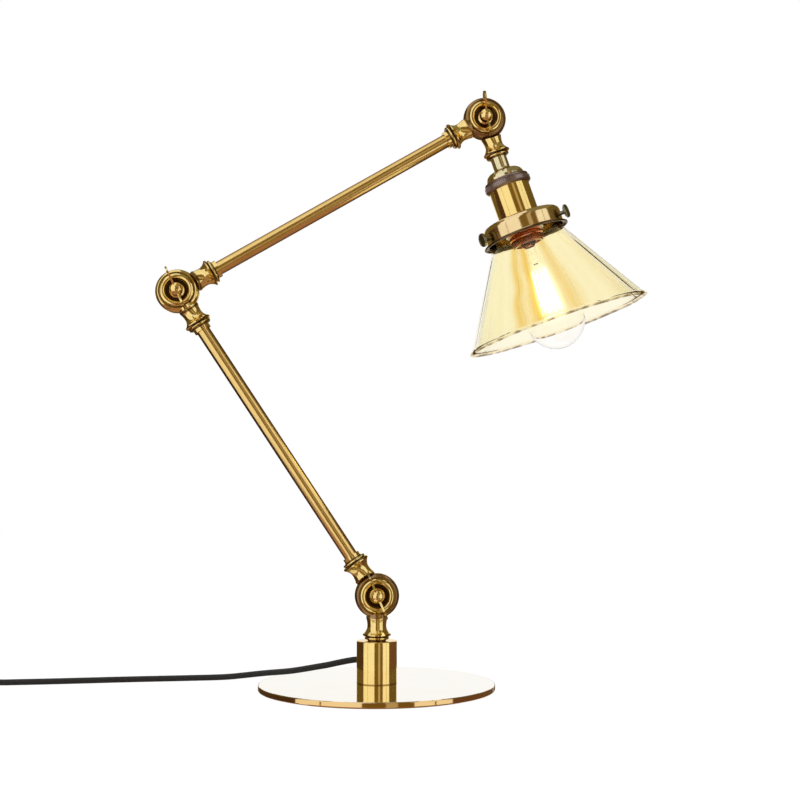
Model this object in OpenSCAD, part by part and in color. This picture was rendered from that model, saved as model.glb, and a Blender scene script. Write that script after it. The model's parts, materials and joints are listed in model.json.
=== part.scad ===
// Adjustable desk lamp: a round weighted base, two tubular arms on three clamped swivels,
// and a tilting lampholder that carries a fluted glass shade.
// X runs along the plane of the arms, Y to the back and Z up, in millimetres.
// The origin is the centre of the foot pad's underside.

/* [Pose] */
// Lean of the lower arm from upright, to the left
lower_lean = 33.6; // [10:0.2:60]
// Rise of the upper arm above level, to the right
upper_rise = 30.8; // [0:0.2:60]
// Tilt of the lampholder from straight down, outwards
head_tilt = 18.9; // [0:0.1:50]

/* [Base] */
// Diameter of the base plate
base_d = 169; // [150:1:220]
// Thickness of the base plate
plate_t = 4; // [3.6:0.2:8]
// Round of the base plate's edges
plate_edge = 0.8; // [0.4:0.1:1.2]
// Thickness of the foot pad
pad_t = 0.6; // [0.4:0.1:3]
// Width of the plate's rim that the foot pad leaves bare
pad_margin = 3; // [1:0.5:20]
// Diameter of the column
column_d = 28.9; // [24:0.1:40]
// Height of the column above the base plate
column_h = 29.7; // [27:0.1:60]
// Wall of the column
column_wall = 2.2; // [1.5:0.1:3.5]
// Thickness of the column's roof
column_roof = 5; // [3:0.5:6]
// Height of the steel foot pressed into the column
foot_h = 6; // [5:0.5:7]
// Diameter of the screw that holds the column
foot_screw_d = 6; // [4:0.5:6]

/* [Swivels] */
// Diameter of a swivel
swivel_d = 32; // [31.4:0.2:33.4]
// Distance from a swivel's middle plane to the crest of its ring
swivel_half = 7.4; // [7:0.1:8.5]
// Seam between the two castings of a swivel
seam = 0.8; // [0.6:0.1:1]
// Thickness of the web that a clamp screw passes through
web_t = 3; // [2.5:0.1:3.4]
// Outer diameter of the raised ring
ring_d = 24.8; // [24:0.1:25]
// Diameter of the recess inside the ring
recess_d = 16.6; // [15:0.1:17]
// Inner diameter of the wire channel
channel_in_d = 18.4; // [18:0.1:19]
// Outer diameter of the wire channel
channel_out_d = 26.4; // [25:0.1:27]
// Depth of the wire channel from the middle plane
channel_depth = 3.8; // [3:0.1:4.2]
// Gap that a stem leaves round the other casting
swing_gap = 1.2; // [0.3:0.1:1.4]

/* [Stems] */
// Length from a pivot to the end of the stem's beads
stem_len = 31.9; // [31:0.1:36]
// Diameter of the stem where it leaves the swivel
stem_d = 15.6; // [14.4:0.1:16]
// Diameter of the stem's waist
waist_d = 13.6; // [12.4:0.1:14.2]
// Distance from a pivot to the waist
waist_at = 21.5; // [20:0.1:22]
// Diameter of the sharp flange
flange_d = 20.2; // [19.6:0.1:21.4]
// Diameter of the round bead
bead_d = 17.6; // [16:0.1:18]
// Diameter of the collar that takes a tube
collar_d = 12.8; // [12.4:0.1:14]
// Length of that collar
collar_h = 2.6; // [2:0.1:6]
// Diameter of the wire bore
wire_bore_d = 5.2; // [4.6:0.1:5.6]
// Diameter of the threaded nipples
nipple_d = 9.5; // [8.6:0.1:10]
// Bore of the threaded nipples
nipple_bore_d = 6.5; // [5.6:0.1:7]
// Depth to which a nipple enters a stem
nipple_seat = 7; // [4:0.5:8]

/* [Arms] */
// Length of an arm's tube
tube_len = 203.2; // [120:0.2:260]
// Diameter of an arm's tube
tube_d = 10; // [8:0.1:10.4]
// Wall of an arm's tube
tube_wall = 1; // [0.6:0.1:1.4]
// Depth to which a tube enters its collar
tube_seat = 3.6; // [2:0.1:6]

/* [Clamp screws] */
// Diameter of a clamp screw
clamp_d = 6; // [4.5:0.1:6.4]
// Diameter of a clamp screw's hub
hub_d = 9.4; // [8.4:0.1:12]
// Span over the two wings
wing_span = 34.4; // [30:0.2:40]
// Thickness of the wings
wing_t = 1.4; // [1:0.1:2.4]
// Diameter of the round lobe of each wing
lobe_d = 9.2; // [7:0.2:10]
// Height of the lobes' centres above the middle plane
lobe_at = 13; // [12.8:0.1:16]
// Angle of the three screws' wings from upright: base, elbow and head
wing_turn = [23.4, 25.7, 7];
// Width of a cap nut over its flats
nut_af = 10; // [9:0.5:12]
// Height of a cap nut's hexagon
nut_h = 5; // [4:0.5:7]

/* [Wires] */
// Diameter of an insulated wire
wire_d = 2; // [1.2:0.1:2.2]

/* [Lampholder] */
// Diameter of the neck on the holder's cap
neck_d = 12.4; // [11.6:0.1:13.4]
// Length of that neck
neck_h = 8.5; // [6:0.5:20]
// Diameter of the holder's domed cap
cap_d = 29.4; // [29.2:0.1:32]
// Height of the holder's domed cap
cap_h = 8.5; // [7:0.5:14]
// Diameter of the knurled ring
knurl_d = 35.4; // [34.4:0.1:38]
// Height of the knurled ring
knurl_h = 7.5; // [6:0.5:12]
// Number of notches round the knurled ring
knurl_count = 72; // [36:1:90]
// Diameter of the holder's shell
shell_d = 30.9; // [30.6:0.1:32]
// Length of the shell between the knurled ring and the gallery
shell_h = 24.5; // [22:0.1:32]
// Wall of the lampholder's sheet parts
sheet_t = 0.8; // [0.6:0.1:0.8]

/* [Gallery] */
// Diameter of the gallery that holds the shade
gallery_d = 60.4; // [59.6:0.1:62.4]
// Height of the gallery above its lip
gallery_h = 13.3; // [12:0.1:18]
// Round of the gallery's shoulder
gallery_round = 4.5; // [2:0.1:5]
// Thickness of the gallery's sheet
gallery_t = 1; // [0.8:0.1:1.4]
// Diameter of the gallery's lip
lip_d = 65.6; // [65:0.1:66.4]
// Height of the gallery's lip
lip_h = 1.8; // [1.6:0.1:3]
// Diameter of a thumbscrew's thread
thumb_d = 3; // [2:0.1:4]
// Diameter of a thumbscrew's head
thumb_head_d = 10.2; // [7:0.1:11]
// Thickness of a thumbscrew's head
thumb_head_t = 2.4; // [1.6:0.1:4]
// Length of bare thread between the gallery and the head
thumb_stand = 3.8; // [3.4:0.1:5]

/* [Shade] */
// Diameter over the bead on the shade's collar
fitter_d = 56.6; // [55:0.1:57]
// Diameter of the shade's collar below its bead
shade_neck_d = 52.8; // [50:0.1:53.4]
// Diameter of the cone where the rim starts to flare
mouth_d = 132; // [110:1:160]
// Diameter over the rim
rim_d = 138.8; // [116:0.2:170]
// Length of the cone below the gallery
cone_h = 68; // [50:0.5:90]
// Height of the flared rim
rim_h = 3.8; // [2:0.1:8]
// Thickness of the glass
glass_t = 2.6; // [2:0.1:3.4]
// Number of flutes
flute_count = 10; // [6:1:16]
// Depth of the flutes at the rim
flute_depth = 1.7; // [0.5:0.1:3]

/* [Bulb] */
// Largest diameter of the bulb
bulb_d = 44; // [36:0.5:46]
// Length of the bulb's glass below its screw cap
bulb_h = 82.6; // [70:0.1:90]
// Diameter of the bulb's neck
bulb_neck_d = 22.6; // [18:0.1:24]
// Diameter of the bulb's screw cap
screw_cap_d = 26; // [25.6:0.1:26.2]
// Length of the bulb's screw cap
screw_cap_h = 22; // [20:0.5:25]
// Height of the glass mount above the bulb's neck
mount_h = 17; // [12:0.5:19]
// Distance from the bulb's neck to the filament
cage_at = 21; // [20:0.5:26]
// Length of the filament's legs
cage_h = 36; // [20:0.5:40]
// Width of the filament's cage
cage_d = 16; // [12:0.5:20]
// Number of legs of the filament
cage_legs = 12; // [6:2:20]

/* [Cord] */
// Diameter of the cord
cord_d = 4.4; // [4.2:0.1:4.6]
// Height of the cord's outlet above the base plate
outlet_h = 15.7; // [13:0.1:18]
// Direction of the outlet in plan
outlet_angle = 165; // [160:1:170]
// Width of the cord switch
switch_w = 28; // [24:0.5:29]
// Height of the cord switch
switch_h = 17; // [15:0.5:24]
// Length of its rocker
rocker_len = 19; // [14:0.5:24]
// Width of its rocker
rocker_w = 10; // [8:0.5:12]
// Tilt of the rocker to either side
rocker_tilt = 7; // [3:0.5:8]
// Width of the plug
plug_w = 24; // [22:0.5:28]
// Thickness of the plug
plug_t = 15; // [13:0.5:20]
// Distance between the plug's blades
blade_gap = 12.7; // [11:0.1:14]
// Length of the blades
blade_len = 17.5; // [14:0.5:20]

/* [Hidden] */
$fn = 96;

// Clearances
run_gap = 0.05;  // radial, round a part that turns or is fitted in its hole
face_gap = 0.1;  // between faces that turn on each other
soft_gap = 0.3;  // between the glass and what holds it
swallow = 60;    // reach of a cut that has to pass right through a swivel

// Places along the lampholder
fitter_gap = 1.6;     // from the gallery's roof to the shade's collar
fitter_bead_h = 3.6;  // height of the bead round that collar, with its slope
bulb_rise = 1.3;      // from the gallery up to the bottom of the bulb's threads

// Heights of the base
plate_top = pad_t + plate_t;
column_top = plate_top + column_h;
pivot_z = column_top + stem_len;
outlet_z = plate_top + outlet_h;
column_bore_d = column_d - 2 * column_wall;

// Pivots of the three swivels
link_len = tube_len + 2 * (stem_len + collar_h - tube_seat);
base_pivot = [0, 0, pivot_z];
elbow_pivot = base_pivot + link_len * [-sin(lower_lean), 0, cos(lower_lean)];
head_pivot = elbow_pivot + link_len * [cos(upper_rise), 0, sin(upper_rise)];

// Directions of the stems in the plane of the arms, from +X towards +Z
lower_up = 90 + lower_lean;
lower_down = lower_up + 180;
upper_out = upper_rise;
upper_back = upper_rise + 180;
head_down = head_tilt - 90;

// Stations along the lampholder's axis, from its pivot
neck_s = stem_len;
cap_s = neck_s + neck_h;
knurl_s = cap_s + cap_h;
shell_s = knurl_s + knurl_h;
gallery_s = shell_s + shell_h;
lip_s = gallery_s + gallery_h;
gallery_end_s = lip_s + lip_h;
fitter_s = gallery_s + gallery_t + fitter_gap;
thumb_s = fitter_s + fitter_bead_h + thumb_d / 2 + 1;
cone_s = gallery_end_s - 1;
rim_s = cone_s + cone_h;
shade_end_s = rim_s + rim_h;
bulb_s = gallery_s - bulb_rise;
bulb_glass_s = bulb_s + screw_cap_h;

// The swivels

// Points of an arc round c, from angle a to angle b
function arc(c, r, a, b, n = 8) =
    [for (i = [0:n]) let (t = a + (b - a) * i / n) c + r * [cos(t), sin(t)]];

// Places children at a pivot, with X along the stem and Z out of the front casting
module front_at(pivot, angle) {
    translate(pivot) rotate([0, -angle, 0]) rotate([90, 0, 0]) children();
}

// The same, with Z out of the back casting
module back_at(pivot, angle) {
    translate(pivot) rotate([0, -angle, 0]) rotate([-90, 0, 0]) children();
}

// Turns a profile of [radius, height] points
module turned(profile) {
    rotate_extrude() polygon(profile);
}

// A ring of rectangular section
module ring(d_out, d_in, h) {
    difference() {
        cylinder(d = d_out, h = h);
        translate([0, 0, -1]) cylinder(d = d_in, h = h + 2);
    }
}

// One casting's round body: web, recess, raised ring and shoulder
ring_w = (ring_d - recess_d) / 4;
groove_z = channel_depth + 1;
shoulder_r = 5;
function casting_profile() = concat(
    [[clamp_d / 2 + run_gap, seam / 2], [swivel_d / 2, seam / 2]],
    arc([swivel_d / 2 - shoulder_r, 1.4], shoulder_r, 0, 60),
    [[ring_d / 2 + 0.9, groove_z], [ring_d / 2 + 0.2, groove_z]],
    arc([(ring_d + recess_d) / 4, swivel_half - ring_w], ring_w, 0, 180, 12),
    [[recess_d / 2, seam / 2 + web_t], [clamp_d / 2 + run_gap, seam / 2 + web_t]]
);

// A stem's outline as [distance from the pivot, radius] points
flange_s = stem_len - 4.1;
bead_r = 0.95;
flare_s = flange_s - 1.6;
function flare(s) = s < waist_at
    ? waist_d / 2 + (stem_d - waist_d) / 2 * pow((waist_at - s) / (waist_at - 15.5), 2)
    : waist_d / 2 + 2.1 * pow((s - waist_at) / (flare_s - waist_at), 2);
function stem_outline() = concat(
    [[11.6, 0], [11.6, stem_d / 2 - 2.4], [13.2, stem_d / 2 - 0.6], [15.5, stem_d / 2]],
    [for (i = [1:14]) let (s = 15.5 + (flare_s - 15.5) * i / 14) [s, flare(s)]],
    [[flange_s - 0.5, flange_d / 2], [flange_s + 0.3, flange_d / 2], [flange_s + 1.1, flange_d / 2 - 1]],
    [[flange_s + 1.3, bead_d / 2 - 1]],
    arc([flange_s + 1.3 + bead_r, bead_d / 2 - bead_r], bead_r, 170, 0, 8),
    [[flange_s + 1.3 + 2 * bead_r, collar_d / 2 + 0.4], [stem_len - 0.3, collar_d / 2 + 0.4]],
    [[stem_len, collar_d / 2 + 0.1], [stem_len, 0]]
);

// A complete casting. Its stem ends in a collar for a tube, or in a socket for a nipple
module casting(for_tube) {
    end_s = stem_len + (for_tube ? collar_h : 0);
    seat_s = end_s - (for_tube ? tube_seat : nipple_seat);
    seat_d = (for_tube ? tube_d : nipple_d) + 2 * run_gap;
    difference() {
        union() {
            turned(casting_profile());
            rotate([0, 90, 0]) {
                turned([for (p = stem_outline()) [p[1], p[0]]]);
                if (for_tube)
                    translate([0, 0, flange_s]) cylinder(d = collar_d, h = end_s - flange_s);
            }
        }
        translate([0, 0, seam / 2 - swallow])
            cylinder(d = swivel_d + 2 * swing_gap, h = swallow);
        translate([0, 0, seam / 2 - 1]) ring(channel_out_d, channel_in_d, channel_depth - seam / 2 + 1);
        translate([0, 0, seam / 2 + web_t]) cylinder(d = recess_d, h = swallow);
        translate([0, 0, -1]) cylinder(d = clamp_d + 2 * run_gap, h = swallow);
        translate([channel_out_d / 2 - 1.5, 0, 0])
            rotate([0, 90, 0]) cylinder(d = wire_bore_d, h = swallow);
        translate([seat_s, 0, 0]) rotate([0, 90, 0]) cylinder(d = seat_d, h = swallow);
    }
}

// Where the line from p touches the circle round c, on the left or right side of the line
function touch(p, c, r, side) =
    let (v = c - p, l = norm(v), a = atan2(v[1], v[0]) + side * asin(r / l))
    p + sqrt(l * l - r * r) * [cos(a), sin(a)];

// Outline of one wing in its own plane: distance from the screw's axis, and height
hub_foot = seam / 2 + web_t + face_gap;
hub_top = 12;
module wing_outline() {
    low = [hub_d / 2 - 1, swivel_half + 0.6];
    high = [hub_d / 2 - 1, hub_top - 0.2];
    lobe = [(wing_span - lobe_d) / 2, lobe_at];
    polygon([low, touch(low, lobe, lobe_d / 2, -1), lobe, touch(high, lobe, lobe_d / 2, 1), high]);
    translate(lobe) circle(d = lobe_d);
}

// A clamp screw along Z, with its wings along X
clamp_tip = seam / 2 + web_t + nut_h + 1.6;
module clamp_screw() {
    tip = clamp_tip - 0.6;
    turned(concat(
        [[0, hub_foot], [hub_d / 2 + 0.8, hub_foot], [hub_d / 2 + 0.8, hub_foot + 1]],
        [[hub_d / 2 - 0.4, hub_foot + 1.8], [hub_d / 2 - 0.4, hub_foot + 2.6]],
        [[hub_d / 2, hub_foot + 3.2]],
        [for (a = [0:15:90]) [hub_d / 2 * cos(a), hub_top - 2.4 + 3.8 * sin(a)]]
    ));
    translate([0, 0, -tip]) cylinder(d = clamp_d, h = tip + hub_foot + 1);
    translate([0, 0, -tip - 0.6]) cylinder(d1 = clamp_d - 1.2, d2 = clamp_d, h = 0.6);
    for (side = [0, 180])
        rotate([90, 0, side]) linear_extrude(wing_t, center = true) wing_outline();
}

// The fibre washer between the castings, on the back one
module clamp_washer() {
    ring(channel_in_d - 1, clamp_d + 0.6, seam - face_gap);
}

// A domed nut on the back casting's web, with Z out of it
module clamp_nut() {
    across = nut_af / cos(30);
    dome_r = nut_af / 2 - 0.3;
    difference() {
        translate([0, 0, seam / 2 + web_t]) {
            intersection() {
                cylinder(d = across, h = nut_h, $fn = 6);
                union() {
                    cylinder(d = across, h = nut_h - 0.8);
                    translate([0, 0, nut_h - 0.8]) cylinder(d1 = across, d2 = nut_af - 0.2, h = 0.8);
                }
            }
            translate([0, 0, nut_h]) turned(concat([[0, 0]], arc([0, 0], dome_r, 0, 90, 12)));
        }
        translate([0, 0, -1]) cylinder(d = clamp_d + 2 * run_gap, h = clamp_tip + 2);
    }
}

// Turns a clamp screw's wings from upright, with their tops to the left
module clamp_at(pivot, turn) {
    front_at(pivot, 90 + turn) clamp_screw();
}

// A back casting's washer lies on its seam face
module washer_at(pivot) {
    back_at(pivot, 0) translate([0, 0, -seam / 2 + face_gap]) clamp_washer();
}

// Two insulated wires side by side, from one distance to another along a stem's axis
wire_side = wire_d / 2 + 0.15;
module wire_pair(from, to) {
    for (side = [-1, 1])
        translate([from, 0, side * wire_side])
            rotate([0, 90, 0]) cylinder(d = wire_d, h = to - from, $fn = 24);
}
wire_start = swivel_d / 2 + swing_gap + 0.4;

// The base

module base_pad() {
    color("#2b2b2b") cylinder(d = base_d - 2 * pad_margin, h = pad_t);
}

// Head of the column's screw: countersunk under the plate
screw_head_d = 2 * foot_screw_d;
screw_head_h = foot_screw_d / 2;
module base_plate() {
    r = base_d / 2;
    e = plate_edge;
    color("#d8ad4e") difference() {
        translate([0, 0, pad_t]) turned(concat(
            [[0, 0], [r - e, 0]], arc([r - e, e], e, -90, 0, 4),
            arc([r - e, plate_t - e], e, 0, 90, 6), [[0, plate_t]]
        ));
        translate([0, 0, pad_t - 0.01])
            cylinder(d1 = screw_head_d + 0.2, d2 = foot_screw_d + 0.2, h = screw_head_h + 0.01);
        cylinder(d = foot_screw_d + 0.2, h = plate_top + 1);
    }
}

module column() {
    r = column_d / 2;
    color("#c39a45") difference() {
        translate([0, 0, plate_top]) turned(concat(
            [[0, 0], [r, 0]], arc([r - 0.8, column_h - 0.8], 0.8, 0, 90, 6), [[0, column_h]]
        ));
        translate([0, 0, plate_top - 1]) cylinder(d = column_bore_d, h = column_h - column_roof + 1);
        cylinder(d = nipple_d + 2 * run_gap, h = column_top + 1);
        outlet() cylinder(d = bushing_d + 2 * run_gap, h = column_d);
    }
}

// Places children on the outlet's axis, with Z outwards
module outlet() {
    translate([0, 0, outlet_z]) rotate([0, 0, outlet_angle]) rotate([0, 90, 0]) children();
}

// The steel foot inside the column, tapped for its screw
module column_foot() {
    color("#8a8a8a") translate([0, 0, plate_top]) difference() {
        cylinder(d = column_bore_d - 2 * run_gap, h = foot_h);
        translate([0, 0, -1]) cylinder(d = foot_screw_d + 2 * run_gap, h = foot_h + 2);
    }
}

module column_screw() {
    key_d = foot_screw_d * 0.6;
    color("#8a8a8a") translate([0, 0, pad_t]) difference() {
        union() {
            cylinder(d1 = screw_head_d, d2 = foot_screw_d, h = screw_head_h);
            cylinder(d = foot_screw_d, h = plate_t + foot_h - 0.5);
        }
        translate([0, 0, -1]) cylinder(d = key_d, h = 1 + screw_head_h * 0.6, $fn = 6);
    }
}

// A threaded pipe, bored for the wires
module nipple(h) {
    ring(nipple_d, nipple_bore_d, h);
}

nipple_nut_h = 3;
column_nipple_z = column_top - column_roof - nipple_nut_h - 1;
module column_nipple() {
    color("#b58b3a") translate([0, 0, column_nipple_z])
        nipple(column_top + nipple_seat - 0.2 - column_nipple_z);
}

module nipple_nut() {
    color("#b58b3a") translate([0, 0, column_top - column_roof - nipple_nut_h]) difference() {
        cylinder(d = 14 / cos(30), h = nipple_nut_h, $fn = 6);
        translate([0, 0, -1]) cylinder(d = nipple_d + 2 * run_gap, h = nipple_nut_h + 2);
    }
}

// The bushing that grips the cord in the column's wall, flush outside
bushing_d = cord_d + 1.4;
module cord_bushing() {
    r_in = column_bore_d / 2 - 0.5;
    r_out = column_d / 2 - 0.4;
    color("#202020") outlet() difference() {
        union() {
            translate([0, 0, r_in - 2]) cylinder(d = bushing_d, h = r_out - r_in + 2);
            translate([0, 0, r_in - 2]) cylinder(d = bushing_d + 2.4, h = 1.4);
        }
        cylinder(d = cord_d + 2 * run_gap, h = column_d);
    }
}

// The cord's two wires turn up from the outlet into the nipple
module base_wires() {
    bend_r = 4;
    color("#30302e") translate([0, 0, outlet_z]) rotate([0, 0, outlet_angle])
        for (side = [-1, 1]) translate([0, side * wire_side, 0]) {
            translate([bend_r, 0, 0]) rotate([0, 90, 0])
                cylinder(d = wire_d, h = norm(lead_route[0] - [0, 0, outlet_z]) - bend_r, $fn = 24);
            translate([bend_r, 0, bend_r]) rotate([90, 180, 0])
                rotate_extrude(angle = 90) translate([bend_r, 0]) circle(d = wire_d, $fn = 24);
            translate([0, 0, bend_r])
                cylinder(d = wire_d, h = pivot_z - wire_start - outlet_z - bend_r, $fn = 24);
        }
}

module base_swivel() {
    color("#c39a45") front_at(base_pivot, -90) casting(false);
}

module base_clamp_screw() {
    color("#c9a24c") clamp_at(base_pivot, wing_turn[0]);
}

module base_clamp_washer() {
    color("#6b4a30") washer_at(base_pivot);
}

module base_clamp_nut() {
    color("#c39a45") back_at(base_pivot, lower_up) clamp_nut();
}

// The arms

// A tube between two castings, from its pivot along the given angle
module arm_tube(pivot, angle) {
    front_at(pivot, angle) translate([stem_len + collar_h - tube_seat, 0, 0])
        rotate([0, 90, 0]) ring(tube_d, tube_d - 2 * tube_wall, tube_len);
}

module lower_arm_foot() {
    color("#c39a45") back_at(base_pivot, lower_up) casting(true);
}

module lower_arm_tube() {
    color("#c39a45") arm_tube(base_pivot, lower_up);
}

module lower_arm_head() {
    color("#c39a45") front_at(elbow_pivot, lower_down) casting(true);
}

module lower_arm_wires() {
    color("#30302e") front_at(base_pivot, lower_up) wire_pair(wire_start, link_len - wire_start);
}

module elbow_clamp_screw() {
    color("#c9a24c") clamp_at(elbow_pivot, wing_turn[1]);
}

module elbow_clamp_washer() {
    color("#6b4a30") washer_at(elbow_pivot);
}

module elbow_clamp_nut() {
    color("#c39a45") back_at(elbow_pivot, upper_out) clamp_nut();
}

module upper_arm_foot() {
    color("#c39a45") back_at(elbow_pivot, upper_out) casting(true);
}

module upper_arm_tube() {
    color("#c39a45") arm_tube(elbow_pivot, upper_out);
}

module upper_arm_head() {
    color("#c39a45") front_at(head_pivot, upper_back) casting(true);
}

module upper_arm_wires() {
    color("#30302e") front_at(elbow_pivot, upper_out) wire_pair(wire_start, link_len - wire_start);
}

module head_clamp_screw() {
    color("#c9a24c") clamp_at(head_pivot, wing_turn[2]);
}

module head_clamp_washer() {
    color("#6b4a30") washer_at(head_pivot);
}

module head_clamp_nut() {
    color("#c39a45") back_at(head_pivot, head_down) clamp_nut();
}

module head_swivel() {
    color("#c39a45") back_at(head_pivot, head_down) casting(false);
}

// The lampholder

// Places children on the lampholder's axis, with Z along it away from the pivot
module head_at() {
    translate(head_pivot) rotate([0, 180 - head_tilt, 0]) children();
}

// A straight wire between two points
module rod(a, b, d) {
    v = b - a;
    translate(a) rotate([0, acos(v[2] / norm(v)), atan2(v[1], v[0])])
        cylinder(d = d, h = norm(v), $fn = 16);
}

// A round knee that covers the ends of two rods
module knee(at, d) {
    translate(at) sphere(d = 1.08 * d, $fn = 24);
}

// The two wires come down the nipple and spread to the core's two holes
wire_hole_x = 6;
module head_wires() {
    fork_s = cap_s + cap_h / 2;
    color("#30302e") head_at() for (side = [-1, 1]) {
        beside = [0, side * wire_side, 0];
        at_hole = [side * wire_hole_x, 0, core_top_s + 0.5];
        rod(beside + [0, 0, wire_start], beside + [0, 0, fork_s], wire_d);
        knee(beside + [0, 0, fork_s], wire_d);
        rod(beside + [0, 0, fork_s], at_hole, wire_d);
        knee(at_hole, wire_d);
        rod(at_hole, at_hole + [0, 0, 12], wire_d);
    }
}

module head_nipple() {
    color("#b58b3a") head_at() translate([0, 0, neck_s - nipple_seat + 0.2])
        nipple(nipple_seat - 0.2 + neck_h + 3);
}

// The cap: a bored neck that flows into a flat dome, with a skirt inside the knurled ring
neck_fillet = 1.8;
cap_skirt_d = shell_d - 2 * sheet_t - 2 * run_gap;
module holder_cap() {
    foot_r = neck_d / 2 + neck_fillet;
    dome_r = cap_d / 2 - foot_r;
    color("#c39a45") head_at() difference() {
        union() {
            translate([0, 0, neck_s]) cylinder(d = neck_d, h = neck_h + 2);
            translate([0, 0, cap_s]) turned(concat(
                [[0, 0]],
                arc([foot_r, 0], neck_fillet, 180, 90, 6),
                [for (a = [15:15:90])
                    [foot_r + dome_r * sin(a), neck_fillet + (cap_h - neck_fillet) * (1 - cos(a))]],
                [[0, cap_h]]
            ));
            translate([0, 0, knurl_s - 1]) cylinder(d = cap_skirt_d, h = knurl_h);
        }
        translate([0, 0, neck_s - 1]) cylinder(d = nipple_d + 2 * run_gap, h = cap_s);
        translate([0, 0, cap_s + cap_h / 2]) turned([
            [0, 0], [dome_r * 0.5, 0], [cap_skirt_d / 2 - sheet_t, cap_h / 2],
            [cap_skirt_d / 2 - sheet_t, cap_h + knurl_h], [0, cap_h + knurl_h]
        ]);
    }
}

// The ring that draws cap and shell together: two beads, and notches round the wide one
module holder_ring() {
    r = knurl_d / 2;
    notch_r = PI * knurl_d / knurl_count / 4;
    color("#6a5a55") head_at() translate([0, 0, knurl_s]) difference() {
        turned([
            [cap_skirt_d / 2 + run_gap, 0], [cap_d / 2 + 0.2, 0], [r - 1.1, 0.5], [r - 0.7, 1.2],
            [r - 1.1, 1.9], [r - 1, 2.2], [r, 3], [r, knurl_h - 1.6], [r - 0.8, knurl_h - 0.7],
            [shell_d / 2 + 0.6, knurl_h], [shell_d / 2 + run_gap, knurl_h],
            [shell_d / 2 + run_gap, knurl_h - 3], [cap_skirt_d / 2 + run_gap, knurl_h - 3]
        ]);
        for (i = [0:knurl_count - 1])
            rotate([0, 0, 360 * i / knurl_count]) translate([r + notch_r * 0.3, 0, 2.6])
                cylinder(r = notch_r, h = knurl_h - 3.8, $fn = 4);
    }
}

// The shell, with a bead on which the gallery seats
module holder_shell() {
    top = knurl_s + knurl_h - 3 + run_gap;
    end = gallery_s + gallery_t + gallery_nut_h + 0.4;
    r = shell_d / 2;
    color("#c39a45") head_at() turned([
        [r - sheet_t, top], [r, top], [r, gallery_s - 1.2], [r + 0.7, gallery_s - 0.8],
        [r + 0.7, gallery_s], [r, gallery_s], [r, end], [r - sheet_t, end]
    ]);
}

// The porcelain core that carries the contacts
contact_d = screw_cap_d + 2 * run_gap;
core_top_s = shell_s + 1;
contact_floor_s = bulb_s - 2.4;
core_end_s = gallery_end_s - 3;
module holder_core() {
    color("#efe9dc") head_at() difference() {
        translate([0, 0, core_top_s])
            cylinder(d = cap_skirt_d, h = core_end_s - core_top_s);
        translate([0, 0, contact_floor_s]) cylinder(d = contact_d + 1, h = swallow);
        for (side = [-1, 1])
            translate([side * wire_hole_x, 0, core_top_s - 1]) cylinder(d = wire_d + 0.6, h = swallow);
    }
}

// The threaded sleeve that the bulb's cap screws into
module screw_contact() {
    color("#c9a648") head_at() translate([0, 0, contact_floor_s + 0.6])
        ring(contact_d + 0.9, contact_d, core_end_s - 0.5 - contact_floor_s - 0.6);
}

// The sprung tongue under the bulb's tip
module centre_contact() {
    color("#c9a648") head_at() translate([0, 0, contact_floor_s]) {
        translate([-7.5, -2.5, 0]) cube([10, 5, 0.5]);
        cylinder(d = 5, h = bulb_tip_s - face_gap - contact_floor_s);
    }
}

// The pressed gallery, with its rounded shoulder and flared lip
gallery_nut_h = 2.5;
module gallery() {
    r = gallery_d / 2;
    t = gallery_t;
    g = gallery_round;
    hole_r = shell_d / 2 + run_gap;
    color("#b08a3e") head_at() difference() {
        translate([0, 0, gallery_s]) turned(concat(
            [[hole_r, 0]], arc([r - g, g], g, -90, 0, 8),
            [[r, gallery_h - 0.6], [r + 0.5, gallery_h], [lip_d / 2 - 0.6, gallery_h + 0.3]],
            [[lip_d / 2, gallery_h + 0.8], [lip_d / 2, gallery_h + lip_h - 0.3]],
            [[lip_d / 2 - 0.4, gallery_h + lip_h], [lip_d / 2 - 1.1, gallery_h + lip_h]],
            [[lip_d / 2 - 1.6, gallery_h + 1.2], [r - t, gallery_h + 0.7]],
            arc([r - g, g], g - t, 0, -90, 8), [[hole_r, t]]
        ));
        for (a = thumb_angles)
            rotate([0, 0, a]) translate([0, 0, thumb_s]) rotate([0, 90, 0])
                cylinder(d = thumb_d + 2 * run_gap, h = lip_d);
    }
}

// The flat ring that clamps the gallery on the shell
module gallery_nut() {
    color("#b08a3e") head_at() translate([0, 0, gallery_s + gallery_t])
        ring(shell_d + 6, shell_d + 2 * run_gap, gallery_nut_h);
}

// A thumbscrew from outside the gallery to the shade's collar
thumb_angles = [345, 211, 98];
module thumbscrew(angle) {
    tip_r = shade_neck_d / 2 + soft_gap;
    head_r = gallery_d / 2 + thumb_stand;
    half = thumb_head_d / 2;
    color("#8a6a30") head_at() rotate([0, 0, angle])
        translate([0, 0, thumb_s]) rotate([0, 90, 0]) {
            translate([0, 0, tip_r]) cylinder(d = thumb_d, h = head_r - tip_r + 1);
            translate([0, 0, head_r]) turned([
                [0, 0], [half - 1.2, 0], [half, 0.7], [half, thumb_head_t - 0.4],
                [half - 0.4, thumb_head_t], [half - 1.1, thumb_head_t],
                [half - 1.4, thumb_head_t - 0.35], [0, thumb_head_t - 0.35]
            ]);
        }
}

// The shade

// Depth of the flutes round the cone: wide lobes that meet in sharp valleys
function lobe(a) = flute_depth * (abs(cos(flute_count * (a + 90) / 2)) - 0.64);

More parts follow.
